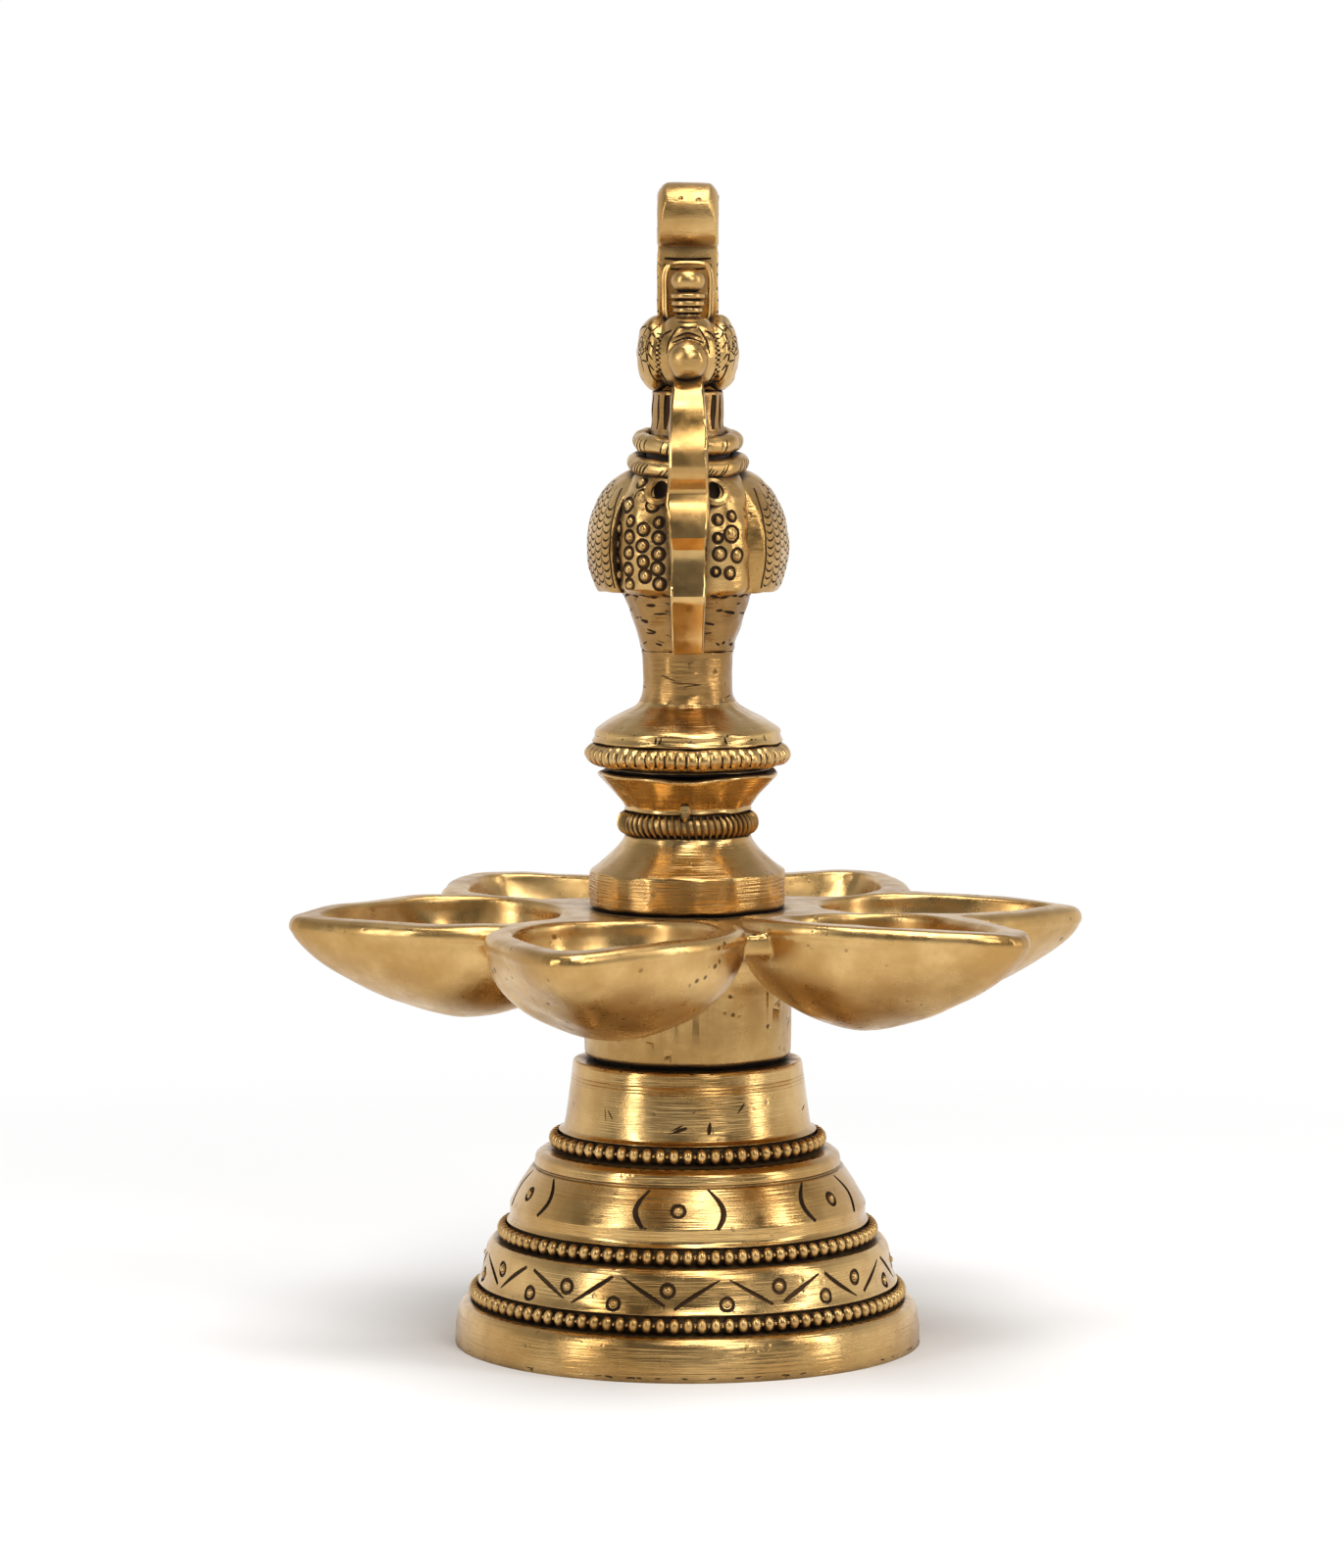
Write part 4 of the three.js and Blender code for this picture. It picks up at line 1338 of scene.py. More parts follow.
def leaf_radius(angle, half_width, reach):
    """Distance from a bowl's centre to its edge: a round inner end and two sides that meet in a nose"""
    tangent = math.acos(half_width / reach) + NOSE_BLUNTNESS
    turn = min(abs(angle), 2 * math.pi - abs(angle))
    if turn >= tangent:
        return half_width
    nose_turn = math.hypot(turn, NOSE_BLUNTNESS)
    belly = 1 + 0.035 * math.sin(math.pi * turn / tangent)
    return belly * half_width / math.cos(nose_turn - tangent)


def leaf_skin(name, centre, half_width, reach, lift, lean, levels):
    """A closed leaf-shaped skin. A level is a part of the width, an inset and a height for each angle."""
    deselect_all()
    bpy.ops.mesh.primitive_circle_add(vertices=LEAF_STEPS, radius=1, fill_type="NOTHING", location=(0, 0, 0))
    piece = bpy.context.object
    piece.name = name
    bpy.ops.object.mode_set(mode="EDIT")
    bpy.ops.mesh.select_all(action="SELECT")
    bpy.ops.mesh.edge_face_add()
    for _ in levels[1:]:
        bpy.ops.mesh.extrude_region_move(TRANSFORM_OT_translate={"value": (0, 0, 1)})
    bpy.ops.object.mode_set(mode="OBJECT")
    for vertex in piece.data.vertices:
        x, y, z = vertex.co
        angle = math.atan2(y, x)
        part, inset, height_at = levels[round(z)]
        radius = part * leaf_radius(angle, half_width, reach - centre) - inset
        along = radius * math.cos(angle)
        across = radius * math.sin(angle)
        nose_bend = lift * max(0.0, along / (reach - centre)) ** 1.5
        side_bend = max(0.0, lean * across / BOWL_HALF_WIDTH)
        height = height_at(angle) + (nose_bend + side_bend)
        vertex.co = ((centre + along) * MM, across * MM, height * MM)
    bpy.ops.object.mode_set(mode="EDIT")
    tidy_mesh()
    return piece


def bowl_rise(part, angle):
    """Rise above the bowl's bottom: full and round across, straighter up to the nose"""
    ahead = max(0.0, math.cos(angle)) ** 2
    return 1 - (1 - part ** (2.0 - 0.5 * ahead)) ** (0.52 + 0.23 * ahead)


def rising_levels(count, bottom, top):
    """Levels of a leaf from near its middle out to its full width"""
    levels = []
    for step in range(1, count + 1):
        part = math.sin(math.pi / 2 * step / count)
        levels.append((part, 0, lambda angle, part=part: bottom + (top - bottom) * bowl_rise(part, angle)))
    return levels


def flat_levels(steps):
    return [(1, inset, lambda angle, height=height: height) for inset, height in steps]


def bowl_outside(reach, lift, lean):
    levels = rising_levels(18, BOWL_BOTTOM, RIM_EDGE - 0.3) + flat_levels(RIM)
    return leaf_skin("bowl", BOWL_CENTRE, BOWL_HALF_WIDTH, reach, lift, lean, levels)


def bowl_hollow(reach, lift, lean, half_width):
    levels = rising_levels(12, HOLLOW_BOTTOM, TRAY_TOP - 0.9) + flat_levels(LIP)
    return leaf_skin("hollow", HOLLOW_CENTRE, half_width, reach - NOSE, lift, lean, levels)


class LAMP_OT_tray(bpy.types.Operator):
    """Cast the tray: six leaf-shaped bowls, the web between them and the hub below"""

    bl_idname = "lamp.tray"
    bl_label = "Oil tray"

    def execute(self, context):
        tray = turned("cast_tray", rounded(WEB_OUTLINE), steps=128)
        for azimuth, reach, lift, lean, _ in BOWLS:
            bowl = bowl_outside(reach, lift, lean)
            bowl.data.transform(Matrix.Rotation(math.radians(azimuth), 4, "Z"))
            combine(tray, bowl, "UNION")
        for azimuth, reach, lift, lean, half_width in BOWLS:
            hollow = bowl_hollow(reach, lift, lean, half_width)
            hollow.data.transform(Matrix.Rotation(math.radians(azimuth), 4, "Z"))
            combine(tray, hollow, "DIFFERENCE")
        combine(tray, turned("bore", BORE_OUTLINE, steps=32), "DIFFERENCE")
        cast_in_one(tray, voxel=0.42, rounds=2, depth=0.35, reach=9, finish="hand_finished_brass")
        scratches = file_marks(random.Random(23), 70, HUB, 59, 73, turn=(-7, 7), rise=(-2.2, 2.2),
                               out=0.12, steps=4, taper=(0.3, 0.5, 1.0))
        engrave(tray, "hub_scratches", scratches, 0.42)
        darken_band(tray, low=57, high=78, reach=21.3, finish="darker_hub_brass")
        smooth(tray, 60)
        hand_over(tray, "oil_tray")
        return {"FINISHED"}


# Peacock

NECK_TOP = 188.8
CHEST = [
    (9.2, 137.6), (9.4, 139), (10.6, 143), (12.0, 147), (12.4, 148.5), (13.2, 149.6), (13.6, 157),
    (13.3, 163), (12.0, 168.5), (9.9, 172.6), (8.3, 175), (7.4, 179), (7.0, 183), (7.0, NECK_TOP)]
BACK_CENTRE = (0, 8, 159.5)
BACK_RADII = (11.5, 13, 11)
# Azimuth and radii of the two bored holes beside the garland
HOLES = ((-25.5, (1.5, 1.8, 2.2)), (24.5, (1.4, 1.8, 2.0)))
HOLE_HEIGHT = 169.3
WELT_RADIUS = 2.55
FAN_AZIMUTH = 26
FAN_RADII = (3.5, 4.1, 4.7)
WAIST_HEIGHT = 148.75
# Azimuth, either side, and half the spread of the deeper flutes of the neck
DEEP_FLUTES = (42, 8)
WING_CENTRE = (8.5, 6, 158)
WING_RADII = (11.5, 18, 15.5)
WING_BOTTOM = 149.2
CHEST_SIDES = {"left_wing": 12.2, "right_wing": 18.4}
TAIL_WIDTH = 12
RING_TILT = 7


def chest_swell(azimuth, height):
    """How far the chest stands out beyond a round one: its front is broad and nearly flat"""
    if abs(azimuth) > 90:
        return 1.0
    rise = max(0.0, min(1.0, (height - 148.8) / 1.5, (175 - height) / 7))
    power = 2 + 0.85 * rise
    angle = math.radians(azimuth)
    broader = 1 + 0.09 * rise * max(0.0, -math.sin(angle)) ** 2
    return broader * (abs(math.sin(angle)) ** power + math.cos(angle) ** power) ** (-1 / power)


SCALE_COLUMNS = (-23.5, -35, -48, -62)
SCALE_BOTTOM = 151.2
SCALE_TOP = 164.5
SCALE_PITCH = 3.05
# Azimuth, height and size of the scales that stand in no column
LOOSE_SCALES = (
    (-41, 168.0, 1.75), (-30, 166.7, 1.35), (-54, 166.6, 1.5), (-66, 164.8, 1.3), (-50, 171.0, 1.2),
    (25, 163.7, 1.05), (37, 164.5, 1.0), (24, 160.4, 1.0), (35.5, 160.9, 1.6), (26, 157.1, 1.3),
    (39.5, 157.0, 1.35), (35, 153.4, 1.2), (23, 153.6, 0.9))


def chest_scales():
    """Columns of ring-edged scales on the chest, either side of the garland, as azimuth, height and size"""
    spots = []
    for index, azimuth in enumerate(SCALE_COLUMNS):
        for row in range(5):
            height = SCALE_BOTTOM + SCALE_PITCH * row + (1.5 if index % 2 else 0)
            if height < SCALE_TOP:
                spots.append((azimuth, height, 1.27 if height < 162 else 1.05))
    return spots + list(LOOSE_SCALES)


class LAMP_OT_body(bpy.types.Operator):
    """Model the bird's chest, back and neck, and engrave the scales of its chest"""

    bl_idname = "lamp.body"
    bl_label = "Peacock body"

    def execute(self, context):
        shake = random.Random(2)
        brass = brass_finish("carved_brass")
        outline = rounded([(0, 137.6, 0)] + [(*point, 0.6) for point in CHEST] + [(0, NECK_TOP, 0)])
        body = turned("chest_and_neck", outline, steps=120)
        for vertex in body.data.vertices:
            azimuth = math.degrees(math.atan2(vertex.co.x, -vertex.co.y))
            swell = chest_swell(azimuth, vertex.co.z / MM)
            vertex.co.x *= swell
            vertex.co.y *= swell
        combine(body, ball("back", BACK_CENTRE, BACK_RADII, 48, 32), "UNION")
        cast_in_one(body, voxel=0.3, rounds=2, depth=0.3, reach=3, finish="carved_brass")
        rings, domes = [], []
        for azimuth, height, size in chest_scales():
            azimuth += shake.uniform(-0.8, 0.8)
            height += shake.uniform(-0.2, 0.2)
            size *= shake.uniform(0.94, 1.04)
            rings.append(ring_on(azimuth, height, CHEST, size, out=0.0, steps=14, swell=chest_swell))
            facing = Matrix.Rotation(math.radians(0.7 * azimuth), 4, "Z")
            centre = on_cone(azimuth, height, CHEST, -0.15, chest_swell)
            dome = ball("dome", centre, (size * 0.68, 0.7, size * 0.7), 12, 8, facing)
            dome.data.materials.append(brass)
            domes.append(dome)
        for first in (0, 1, 2):
            engrave(body, "scale_rings", rings[first::3], 0.78)
        combine(body, joined("domes", domes), "UNION")
        for azimuth, radii in HOLES:
            welt = ring_on(azimuth, HOLE_HEIGHT, CHEST, WELT_RADIUS, out=-0.1, steps=20, swell=chest_swell)
            combine(body, graver_marks("welt", [welt], 1.5, brass), "UNION")
            hole = ball("hole", on_cone(azimuth, HOLE_HEIGHT, CHEST, -0.3, chest_swell), radii, 16, 10)
            # The hole's walls take the near-black finish of the cut floors: dirt, with painted shade for the
            # dark inside of the hole
            hole.data.materials.append(brass_finish("engraved_brass"))
            combine(body, hole, "DIFFERENCE")
        engrave(body, "chest_cuts", self.fans() + [self.waist()] + self.neck_and_vase(shake), 0.8)
        # Painted shade with darker patina on the vase under the wings and on the neck under the head
        darken_band(body, low=137, high=149)
        darken_band(body, low=180.5, high=190)
        finish_piece(body, "peacock_body", 38)
        return {"FINISHED"}

    def fans(self):
        """Arcs over the right hole"""
        cuts = []
        for size in FAN_RADII:
            arc = ring_on(FAN_AZIMUTH, HOLE_HEIGHT, CHEST, size, out=0.02, steps=30, swell=chest_swell)[1]
            cuts.append((False, [(place, 0.45) for place, _ in arc[-6:] + arc[:6]]))
        return cuts

    def waist(self):
        """The line under the chest"""
        line = []
        for step in range(61):
            height = WAIST_HEIGHT + 0.2 * math.sin(step * 0.9)
            place = on_cone(-90 + 3 * step, height, CHEST, 0.2, chest_swell)
            line.append((place, 0.8 + 0.5 * math.sin(step * 1.7)))
        return False, line

    def neck_and_vase(self, shake):
        """Chisel marks on the vase under the chest, and the flutes of the neck"""
        cuts = file_marks(shake, 84, CHEST, 138.2, 147.6, turn=(3, 20), rise=(-0.8, 0.5), out=0.12, steps=6,
                          taper=(0.2, 0.3, 1.15))
        middle, spread = DEEP_FLUTES
        for index in range(18):
            azimuth = index * 20 + shake.uniform(-3, 3)
            from_front = abs((azimuth + 180) % 360 - 180)
            width = 2.3 if abs(from_front - middle) < spread else shake.uniform(0.6, 1.4)
            start, end = (azimuth, 181.2), (azimuth + 4, 188)
            cuts.append(stroke_on(start, end, CHEST, out=0.05, steps=6, taper=(0.5, width)))
        return cuts


def wing_point(side, turn, height, out=0.0):
    """A point on a wing: turn is the angle from the front of the wing round to its tail, in degrees"""
    rise = (height - WING_CENTRE[2]) / WING_RADII[2]
    level_part = math.sqrt(max(0.0, 1 - rise ** 2))
    angle = math.radians(turn)
    x = WING_CENTRE[0] + (WING_RADII[0] * level_part + out) * math.sin(angle)
    y = WING_CENTRE[1] - (WING_RADII[1] * level_part + out) * math.cos(angle)
    return Vector((side * x, y, height))


FEATHER_COLUMNS = (42, 53, 62, 70, 78, 86, 94, 102, 110, 119, 129)
FEATHER_PITCH = 1.5
# Height of the highest mark, the turn at which it lies, and how fast the tops of the columns fall from there
FEATHER_TOP = 171.4
HIGHEST_TURN = 75
FEATHER_FALL = 0.016
BORDER_TURN = 36


def feather_marks(side):
    """Columns of stacked U-shaped marks"""
    columns = FEATHER_COLUMNS
    strokes = []
    for index, turn in enumerate(columns):
        half = (columns[min(index + 1, len(columns) - 1)] - columns[max(index - 1, 0)]) / 4
        if index in (0, len(columns) - 1):
            half = 5
        top = FEATHER_TOP - FEATHER_FALL * (turn - HIGHEST_TURN) ** 2 / 4
        height = WING_BOTTOM + 1.8 + 0.7 * (index % 2)
        while height < top:
            points = []
            for step in range(9):
                sweep = math.pi * step / 8
                dip = height - 0.85 * math.sin(sweep) + 0.4
                place = wing_point(side, turn + 0.84 * half * math.cos(sweep), dip, 0.05)
                points.append((place, 0.35 + 0.65 * math.sin(sweep)))
            strokes.append((False, points))
            height += FEATHER_PITCH
    return strokes


def quill_lines(side):
    """The lines between the columns of feather marks"""
    strokes = []
    heights = [WING_BOTTOM + 0.9 + 20 * step / 14 for step in range(15)]
    for first, second in zip(FEATHER_COLUMNS, FEATHER_COLUMNS[1:]):
        turn = (first + second) / 2
        strokes.append((False, [(wing_point(side, turn, height, 0.05), 0.5) for height in heights]))
    return strokes


def border_line(side):
    """The line that parts the feathers from the wing's plain front edge"""
    heights = [WING_BOTTOM + 1 + 19.5 * step / 15 for step in range(16)]
    return False, [(wing_point(side, BORDER_TURN, height), 0.9) for height in heights]


ABOVE_WINGS = 200
# First place, pitch and count of the marks on a wing's back, across it and along it
BACK_COLUMNS = (7.3, 2.1, 6)
BACK_ROWS = (5.5, 2.05, 9)


def stepped(first, pitch, count):
    """Evenly spaced places"""
    return [first + pitch * step for step in range(count)]


def back_marks(wing, side):
    """Stacked feather marks on the slope of a wing's back"""
    strokes = []
    for column, middle in enumerate(stepped(*BACK_COLUMNS)):
        for row in stepped(*BACK_ROWS):
            y = row + column % 2
            points = []
            for step in range(7):
                sweep = math.pi * step / 6
                start = (side * (middle + math.cos(sweep)), y + 0.9 * math.sin(sweep), ABOVE_WINGS)
                place = hit_point(wing, start, (0, 0, -1), 0.03)
                if place:
                    points.append((place, 0.5 + 0.5 * math.sin(sweep)))
            if len(points) > 5 and min(place[2] for place, _ in points) > WING_CENTRE[2]:
                strokes.append((False, points))
    return strokes


WING_FRONT = [(-7.6, WING_BOTTOM), (-8.9, 156), (-8.4, 163), (-4.6, 171), (1, 174.2), (6.5, 174)]
WING_BACK = [(6.5, 174), (13, 169.5), (19, 163.8), (25.6, 157.4)]
WING_UNDER = [(25.6, 156.6), (20.5, 152), (14.5, WING_BOTTOM)]


def wing_outline():
    """The wing's outline in the side view"""
    front = smooth_curve(WING_FRONT, 6)
    back = smooth_curve(WING_BACK, 5)
    under = smooth_curve(WING_UNDER, 5)
    return [tuple(point) for point in front + back[1:] + under]


class LAMP_OT_wings(bpy.types.Operator):
    """Model the folded wings and engrave their feathers"""

    bl_idname = "lamp.wings"
    bl_label = "Wings"

    def execute(self, context):
        for node, side in (("left_wing", 1), ("right_wing", -1)):
            centre = (side * WING_CENTRE[0], *WING_CENTRE[1:])
            wing = ball("feathered_" + node, centre, WING_RADII, 120, 80)
            combine(wing, plate("wing_shape", wing_outline(), 60, bevel=0), "INTERSECT")
            for name, place, radii, segments in (
                    ("beside_tail", (0, 6, 158), (6.3, 40, 40), 48),
                    ("beside_chest", (0, -20.5, 158), (CHEST_SIDES[node], 20, 60), 64)):
                combine(wing, ball(name, place, radii, segments, segments // 2), "DIFFERENCE")
            cast_in_one(wing, voxel=0.27, rounds=3, depth=0.2, reach=3, finish="carved_brass")
            engrave(wing, "border", [border_line(side)], 0.6)
            engrave(wing, "feathers", feather_marks(side), 0.5)
            engrave(wing, "quills", quill_lines(side), 0.5)
            engrave(wing, "back", back_marks(wing, side), 0.55)
            finish_piece(wing, node, 38)
        return {"FINISHED"}


# Node, shape of the ring, and number and slant of its hatching lines
NECK_RINGS = (
    ("lower_neck_ring", Ring(9.9, 174.6, 2.1, 1.75), 72, 9),
    ("upper_neck_ring", Ring(8.9, 178.9, 2.1, 1.9), 60, 4),
)


class LAMP_OT_neck_rings(bpy.types.Operator):
    """Put the two tilted rings round the neck"""

    bl_idname = "lamp.neck_rings"
    bl_label = "Neck rings"

    def execute(self, context):
        for node, shape, count, slant in NECK_RINGS:
            section = shape.section(neck=radius_at(CHEST, shape.height) - 0.2)
            ring = turned(node + "_cord", section, steps=120, closed=True)
            hand_turned(ring, 0.3, reach=3)
            ring.data.materials.append(brass_finish("chased_brass"))
            engrave(ring, "hatching", self.hatching(shape, count, slant), 0.45)
            up, down = (Matrix.Translation((0, 0, way * shape.height * MM)) for way in (1, -1))
            ring.data.transform(up @ Matrix.Rotation(math.radians(RING_TILT), 4, "X") @ down)
            finish_piece(ring, node, 40)
        return {"FINISHED"}

    def hatching(self, shape, count, slant):
        """Groups of eight slanted lines, with gaps of three between the groups"""
        shake = random.Random(count)
        cuts = []
        for index in range(count):
            azimuth = index * 360 / count + shake.uniform(-1, 1)
            if index % 11 > 7:
                continue
            low, high = -48 + shake.uniform(-8, 8), 38 + shake.uniform(-10, 10)
            points = []
            for step in range(7):
                part = step / 6
                place = shape.skin_point(azimuth + slant * part, low + (high - low) * part, out=0.04)
                points.append((place, 0.3 + 0.7 * math.sin(math.pi * (0.15 + 0.7 * part))))
            cuts.append((False, points))
        return cuts


HEAD_CENTRE = (0, -2, 196)
HEAD_RADII = (8.3, 9.2, 7.2)
BROW_CENTRE = (0, -5, 200.3)
BROW_RADII = (5.2, 5.5, 3.4)
BEAK_BALL = (0, -11.3, 194.8)
BEAK_RADIUS = 3.9
CHEEK_CENTRE = (6.2, -1.2, 196)
CHEEK_RADII = (3.8, 7, 7.4)
# The leaf cuts of the right half in the front view, as X, Z points and width
LEAF_CUTS = (
    ([(3.2, 200.6), (5.0, 199.4), (6.0, 196.2), (5.4, 192.8), (4.0, 190.4)], 1.3),
    ([(5.4, 201.8), (7.4, 199.6), (8.0, 195.6), (7.2, 192.2), (5.8, 190.2)], 0.9),
    ([(7.0, 202.4), (8.7, 199.6), (9.2, 195.4), (8.6, 192.6)], 0.8),
    ([(2.0, 201.2), (3.6, 198.6), (4.2, 196.0)], 0.9),
    ([(6.4, 199.2), (7.4, 200.8), (8.3, 201.6)], 0.8),
    ([(6.7, 197.0), (7.9, 198.8), (9.0, 199.6)], 0.8),
    ([(6.9, 194.9), (8.2, 196.6), (9.5, 197.2)], 0.8),
    ([(6.6, 192.8), (8.0, 194.4), (9.2, 194.8)], 0.8),
)
# The cuts of a cheek in the side view, as Y, Z points and width
CHEEK_CUTS = (
    ([(-6, 201.4), (-2.2, 200.8), (0.2, 197.6), (-0.6, 193.6), (-3, 190.8)], 1.0),
    ([(-1, 202.2), (2.4, 200.4), (3.8, 196.4), (2.6, 192.2), (0, 190)], 0.9),
    ([(2.6, 202), (5.2, 199), (5.8, 195.4), (4.4, 191.6)], 0.8),
)
# First height, pitch and count of the short cuts between the leaves of the face, and of those on a cheek
FACE_RUNGS = (190.6, 0.92, 11)
CHEEK_RUNGS = (192, 1.3, 7)
EYE = (-5.2, 197.6)
# Radius and width of the rings round an eye
EYE_RINGS = ((0.95, 0.9), (1.9, 0.7))
# Height, half-width, rise of the ends and of the middle, and line width of the cuts on the brow
BROW_CUTS = (
    (199.1, 3.1, -0.9, 0.0, 0.9), (200.1, 2.6, -0.9, 0.0, 0.9),
    (201.2, 1.7, 0.0, -0.1, 1.0), (202.2, 2.0, 0.0, -0.1, 1.0), (203.0, 2.3, 0.0, -0.1, 1.0),
)


class LAMP_OT_head(bpy.types.Operator):
    """Model the head with its cheeks, eyes and the root of the beak"""

    bl_idname = "lamp.head"
    bl_label = "Peacock head"

    def execute(self, context):
        head = ball("carved_head", HEAD_CENTRE, HEAD_RADII, 64, 40)
        combine(head, ball("brow", BROW_CENTRE, BROW_RADII, 48, 32), "UNION")
        for side in (-1, 1):
            cheek = ball("cheek", (side * CHEEK_CENTRE[0], *CHEEK_CENTRE[1:]), CHEEK_RADII, 64, 40)
            combine(head, cheek, "UNION")
        combine(head, ball("beak_root", BEAK_BALL, (BEAK_RADIUS,) * 3, 48, 32), "UNION")
        under = turned("under", [(0, 180), (30, 180), (30, NECK_TOP), (0, NECK_TOP)], steps=8)
        combine(head, under, "DIFFERENCE")
        cast_in_one(head, voxel=0.24, rounds=2, depth=0.25, reach=2.5, finish="carved_brass")
        cuts = []
        for side in (-1, 1):
            for spots, width in LEAF_CUTS:
                cuts.append(front_stroke(head, [(side * x, z) for x, z in spots], width))
            for step, z in enumerate(stepped(*FACE_RUNGS)):
                x = 5.0 + 0.012 * step * (10 - step)
                cuts.append(front_stroke(head, [(side * x, z), (side * (x + 1.1), z + 0.2)], 0.85, steps=3))
            for spots, width in CHEEK_CUTS:
                cuts.append(side_stroke(head, side, spots, width))
            for z in stepped(*CHEEK_RUNGS):
                cuts.append(side_stroke(head, side, [(1.2, z), (2.6, z + 0.3)], 0.8, steps=3))
            for size, width in EYE_RINGS:
                turns = [math.radians(24 * k) for k in range(15)]
                ring = [(EYE[0] + size * math.cos(turn), EYE[1] + size * math.sin(turn)) for turn in turns]
                cuts.append(side_stroke(head, side, ring, width, closed=True))
        for z, half, end_drop, middle_drop, width in BROW_CUTS:
            arc = [(-half, z + end_drop), (0, z + middle_drop), (half, z + end_drop)]
            cuts.append(front_stroke(head, arc, width))
        engrave(head, "leaf_cuts", cuts, 0.62)
        finish_piece(head, "peacock_head", 38)
        return {"FINISHED"}


CREST_Y = -4.2
CREST_OUTLINE = [
    (0, 199.5, 0), (3.9, 199.5, 0.2), (3.5, 200.6, 0.3), (1.7, 201.2, 0.2), (2.3, 201.5, 0.2),
    (2.3, 202.3, 0.2), (1.8, 202.5, 0.1), (2.6, 202.8, 0.2), (2.6, 203.6, 0.2), (2.0, 203.8, 0.1),
    (2.9, 204.1, 0.2), (2.9, 204.9, 0.2), (2.2, 205.1, 0.1), (3.2, 205.4, 0.2), (3.2, 206.2, 0.2),
    (2.3, 206.5, 0.1), (3.35, 206.9, 0.2), (3.35, 207.6, 0.2), (2.2, 208.0, 0.3), (0, 208.2, 0)]
PEARL_CENTRE = (0, 0, 210.2)
PEARL_RADII = (3.35, 2.9, 2.5)
# Half of the hoop in the front view, and how far behind the crest's middle and how wide each hoop stands
HOOP = [(3.4, 201.4), (4.1, 204), (4.2, 207), (4.2, 211), (3.6, 213), (2.2, 213.6), (0, 213.7)]
HOOP_SIZES = ((1.9, 1.0), (3.1, 1.12))


class LAMP_OT_crest(bpy.types.Operator):
    """Build the stepped crest, its ball and the thin double hoop"""

    bl_idname = "lamp.crest"
    bl_label = "Crest"

    def execute(self, context):
        tiers = turned("stepped_crest", rounded(CREST_OUTLINE), steps=40)
        pearl = ball("pearl", PEARL_CENTRE, PEARL_RADII, 32, 20)
        crest = joined("stepped_crest", [tiers, pearl])
        crest.data.transform(Matrix.Translation((0, CREST_Y * MM, 0)))
        side = [tuple(point) for point in smooth_curve(HOOP, 6)]
        arch = side + [(-x, z) for x, z in side[-2::-1]]
        hoops = []
        for depth, spread in HOOP_SIZES:
            hoops.append((False, [((x * spread, CREST_Y + depth, z), 1.0) for x, z in arch]))
        crest = joined("stepped_crest", [crest, graver_marks("hoops", hoops, 0.85)])
        smooth(crest, 45)
        hand_over(crest, "crest", brass_finish("chased_brass"))
        return {"FINISHED"}


# The tail's curve in the side view, as Y, Z points: up the back, then the roll
ROLL_CENTRE = (1.5, 222.3)
ROLL_RADIUS = 7.4
ROLL_HALF_THICKNESS = 1.9
# How much narrower the roll's end is, and the turn of the roll past which it narrows
ROLL_NARROWING = 0.42
NARROWS_FROM = 150
SHOULDER = 2.6
TAIL_RISE = [(15, 157), (20.5, 164.5), (21, 175), (16, 188), (10.5, 201), (7.4, 213)]
# Thickness of the tail where it leaves the back, and how much it loses on its first half
TAIL_THICKNESS = 9.5
TAIL_THINNING = 6
RAIL_HEIGHTS = (191, 196, 201, 206, 211, 213.5)
# First height, pitch and count of the nicks along the sides, the barbs and the points of the spine
TAIL_NICKS = (192, 2.4, 14)
BARBS = (166, 3.1, 17)
SPINE = (165, 3, 18)


def tail_curve():
    roll = []
    for degrees in range(-10, 301, 31):
        angle = math.radians(degrees)
        narrowing = ROLL_NARROWING * max(0, degrees - NARROWS_FROM) / 150
        radius = (ROLL_RADIUS - ROLL_HALF_THICKNESS) * (1 - narrowing)
        roll.append((ROLL_CENTRE[0] + radius * math.cos(angle), ROLL_CENTRE[1] + radius * math.sin(angle)))
    return TAIL_RISE + roll


def tail_thickness(along):
    return TAIL_THICKNESS - TAIL_THINNING * min(1, along * 1.9)


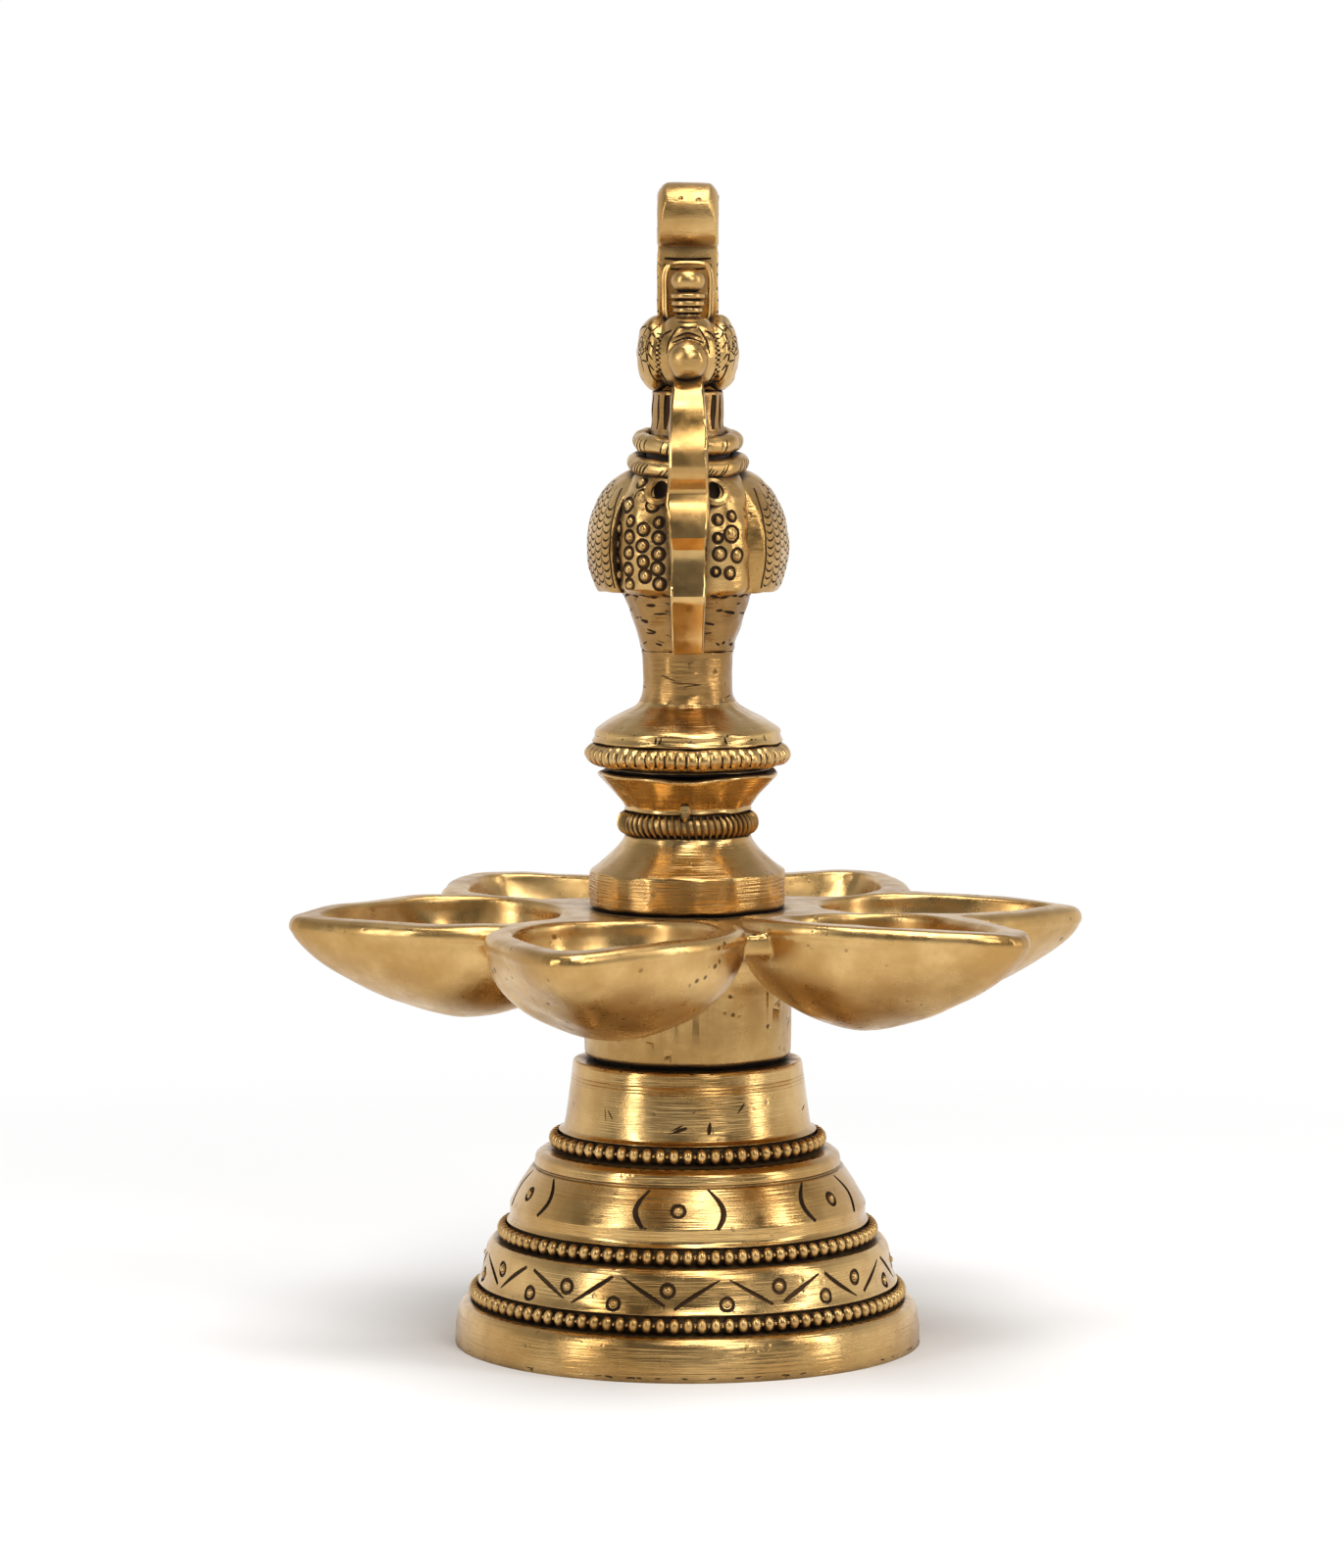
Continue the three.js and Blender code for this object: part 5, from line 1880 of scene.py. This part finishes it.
class LAMP_OT_tail(bpy.types.Operator):
    """Shape the tail that sweeps up behind the bird and rolls forward over its head"""

    bl_idname = "lamp.tail"
    bl_label = "Tail"

    def execute(self, context):
        outline = strip_outline(tail_curve(), 6, tail_thickness)
        tail = plate("rolled_tail", outline, TAIL_WIDTH, bevel=1.5, segments=6)
        cast_in_one(tail, voxel=0.3, rounds=6, depth=0.16, reach=4, finish="carved_brass")
        self.round_shoulders(tail)
        engrave(tail, "feather_lines", self.front_cuts(tail) + self.back_cuts(tail), 0.6)
        finish_piece(tail, "tail_plume", 38)
        return {"FINISHED"}

    def round_shoulders(self, tail):
        """Round the edges of the roll and crown its face, fading out below it"""
        for vertex in tail.data.vertices:
            x, y, z = vertex.co / MM
            away = Vector((y, z)) - Vector(ROLL_CENTRE)
            fade = min(1.0, (z - ROLL_CENTRE[1] + 7) / 5)
            if fade < 0 or away.length < ROLL_RADIUS - SHOULDER:
                continue
            corner = Vector((abs(x) - TAIL_WIDTH / 2 + SHOULDER, away.length - ROLL_RADIUS + SHOULDER))
            crown = 0.5 * (x / 6) ** 2
            if corner[0] > 0 and corner.length > SHOULDER:
                moved = corner * (SHOULDER / corner.length)
                x -= math.copysign((corner - moved)[0] * fade, x)
                crown += (corner - moved)[1]
            y, z = Vector(ROLL_CENTRE) + away * (1 - crown * fade / away.length)
            vertex.co = Vector((x, y, z)) * MM

    def front_cuts(self, tail):
        """The rails and cross lines below the roll, and the nicks along its sides"""
        shake = random.Random(44)
        cuts = []
        for x in (-4.5, 4.5):
            cuts.append(front_stroke(tail, [(x, z) for z in RAIL_HEIGHTS], 1.2, steps=4))
        for spots, width in (([(-4.6, 214.6), (0, 214.3), (4.6, 214.6)], 1.4),
                             ([(-4.6, 212.6), (0, 212.4), (4.6, 212.7)], 1.0)):
            cuts.append(front_stroke(tail, spots, width))
        for z in stepped(*TAIL_NICKS):
            for x in (-5.9, 5.9):
                middle = (hit_point(tail, (x * 8, 6, z), (-x, 0, 0))
                          or hit_point(tail, (x, -SIGHT_START, z), (0, 1, 0)))
                if middle:
                    start = middle + Vector((0, -1.6, shake.uniform(-0.4, 0.4)))
                    cuts.append((False, [(start, 1.1), (middle + Vector((0, 1.6, 0)), 0.5)]))
        return cuts

    def back_cuts(self, tail):
        """Barbs and a spine down the back, and a line along each side"""
        cuts = []
        for z in stepped(*BARBS):
            barbs = [(-5.2, z + 2.4), (-2.6, z + 0.9), (0, z), (2.6, z + 0.9), (5.2, z + 2.4)]
            cuts.append(self.back_line(tail, barbs))
        for side in (-1, 1):
            cuts.append(side_stroke(tail, side, TAIL_RISE[1:-1], 0.9))
        cuts.append(self.back_line(tail, [(0, z) for z in stepped(*SPINE)]))
        return cuts

    def back_line(self, tail, spots):
        places = [hit_point(tail, (x, SIGHT_START, z), (0, -1, 0), 0.02) for x, z in spots]
        return False, [(place, 0.9) for place in places if place]


# Garland: its front and back edge in the side view, as Y, Z points
GARLAND_FRONT = [
    (-10.2, 192), (-14.0, 189.6), (-16.8, 185.8), (-18.2, 181), (-19.1, 176.5), (-18.9, 172.6),
    (-16.4, 169.4), (-17.2, 167), (-19, 164), (-19.3, 160.6), (-17.4, 158.2), (-17.2, 155), (-18, 151.4),
    (-18.8, 149.2), (-18.2, 147.4), (-15.6, 143.8), (-14.4, 140.6), (-12.6, 137.4)]
GARLAND_BACK = [
    (-8.6, 138.2), (-9.5, 143), (-11, 148), (-12.4, 155), (-12.4, 163), (-11.6, 168.5), (-12.6, 172),
    (-14.6, 176.5), (-14.8, 180.6), (-13.4, 184.4), (-11, 187.2), (-8.4, 189)]
GARLAND_BOW = 7
GARLAND_WIDTH = 8
# Width at each height
GARLAND_WIDTHS = (
    (6.2, 138), (6.7, 146.6), (7.2, 151.4), (7.0, 156), (6.9, 158.5), (7.5, 160.5), (8.35, 165.5),
    (8.2, 170.5), (7.6, 174.8), (7.5, 180.6), (6.85, 186.4), (5.6, 192))
GARLAND_FACE = -13.5
# How far the sides of its face lie behind its middle line
GARLAND_CROWN = 0.5
# How much the garland is turned at most, at what height, and how far up and down the turn reaches
TURN_AMOUNT = 0.21
TURNED_AT = 176
TURN_REACH = 7


def garland_width(height):
    return radius_at(GARLAND_WIDTHS, height) / GARLAND_WIDTH


class LAMP_OT_garland(bpy.types.Operator):
    """Shape the garland that hangs from the beak down to the stem"""

    bl_idname = "lamp.garland"
    bl_label = "Garland"

    def execute(self, context):
        bow = [tuple(point) for point in smooth_curve(GARLAND_FRONT[:GARLAND_BOW], 4)]
        outline = bow + GARLAND_FRONT[GARLAND_BOW:] + GARLAND_BACK
        garland = plate("lobed_garland", outline, GARLAND_WIDTH, garland_width, bevel=0.6, segments=2)
        for vertex in garland.data.vertices:
            if vertex.co.y < GARLAND_FACE * MM:
                turned_part = math.exp(-((vertex.co.z / MM - TURNED_AT) / TURN_REACH) ** 2)
                vertex.co.y += TURN_AMOUNT * vertex.co.x * turned_part
                vertex.co.y += GARLAND_CROWN * MM * (vertex.co.x / (GARLAND_WIDTH / 2 * MM)) ** 2
        hand_shaped(garland, 0.25, reach=3)
        finish_piece(garland, "beak_garland", 30, brass_finish("polished_brass"))
        return {"FINISHED"}


# Add-on

class LAMP_PT_panel(bpy.types.Panel):
    """Lists the pieces of the lamp"""

    bl_idname = "LAMP_PT_panel"
    bl_label = "Oil lamp"
    bl_space_type = "VIEW_3D"
    bl_region_type = "UI"
    bl_category = "Oil lamp"

    def draw(self, context):
        for operator in STEPS:
            self.layout.operator(operator.bl_idname)


STEPS = (
    LAMP_OT_stage, LAMP_OT_cad_finish, LAMP_OT_base, LAMP_OT_bead_rings, LAMP_OT_stem, LAMP_OT_finial_foot,
    LAMP_OT_rope_rings, LAMP_OT_joints, LAMP_OT_tray, LAMP_OT_body, LAMP_OT_wings, LAMP_OT_neck_rings,
    LAMP_OT_head, LAMP_OT_crest, LAMP_OT_tail, LAMP_OT_garland)
CLASSES = (LampSizes, LampColours, *STEPS, LAMP_PT_panel)


def register():
    for item in CLASSES:
        bpy.utils.register_class(item)
    bpy.types.Scene.lamp_sizes = PointerProperty(type=LampSizes)
    bpy.types.Scene.lamp_colours = PointerProperty(type=LampColours)


def unregister():
    del bpy.types.Scene.lamp_sizes
    del bpy.types.Scene.lamp_colours
    for item in reversed(CLASSES):
        bpy.utils.unregister_class(item)


def main():
    register()
    for step in STEPS:
        section, name = step.bl_idname.split(".")
        getattr(getattr(bpy.ops, section), name)()


if __name__ == "__main__":
    main()
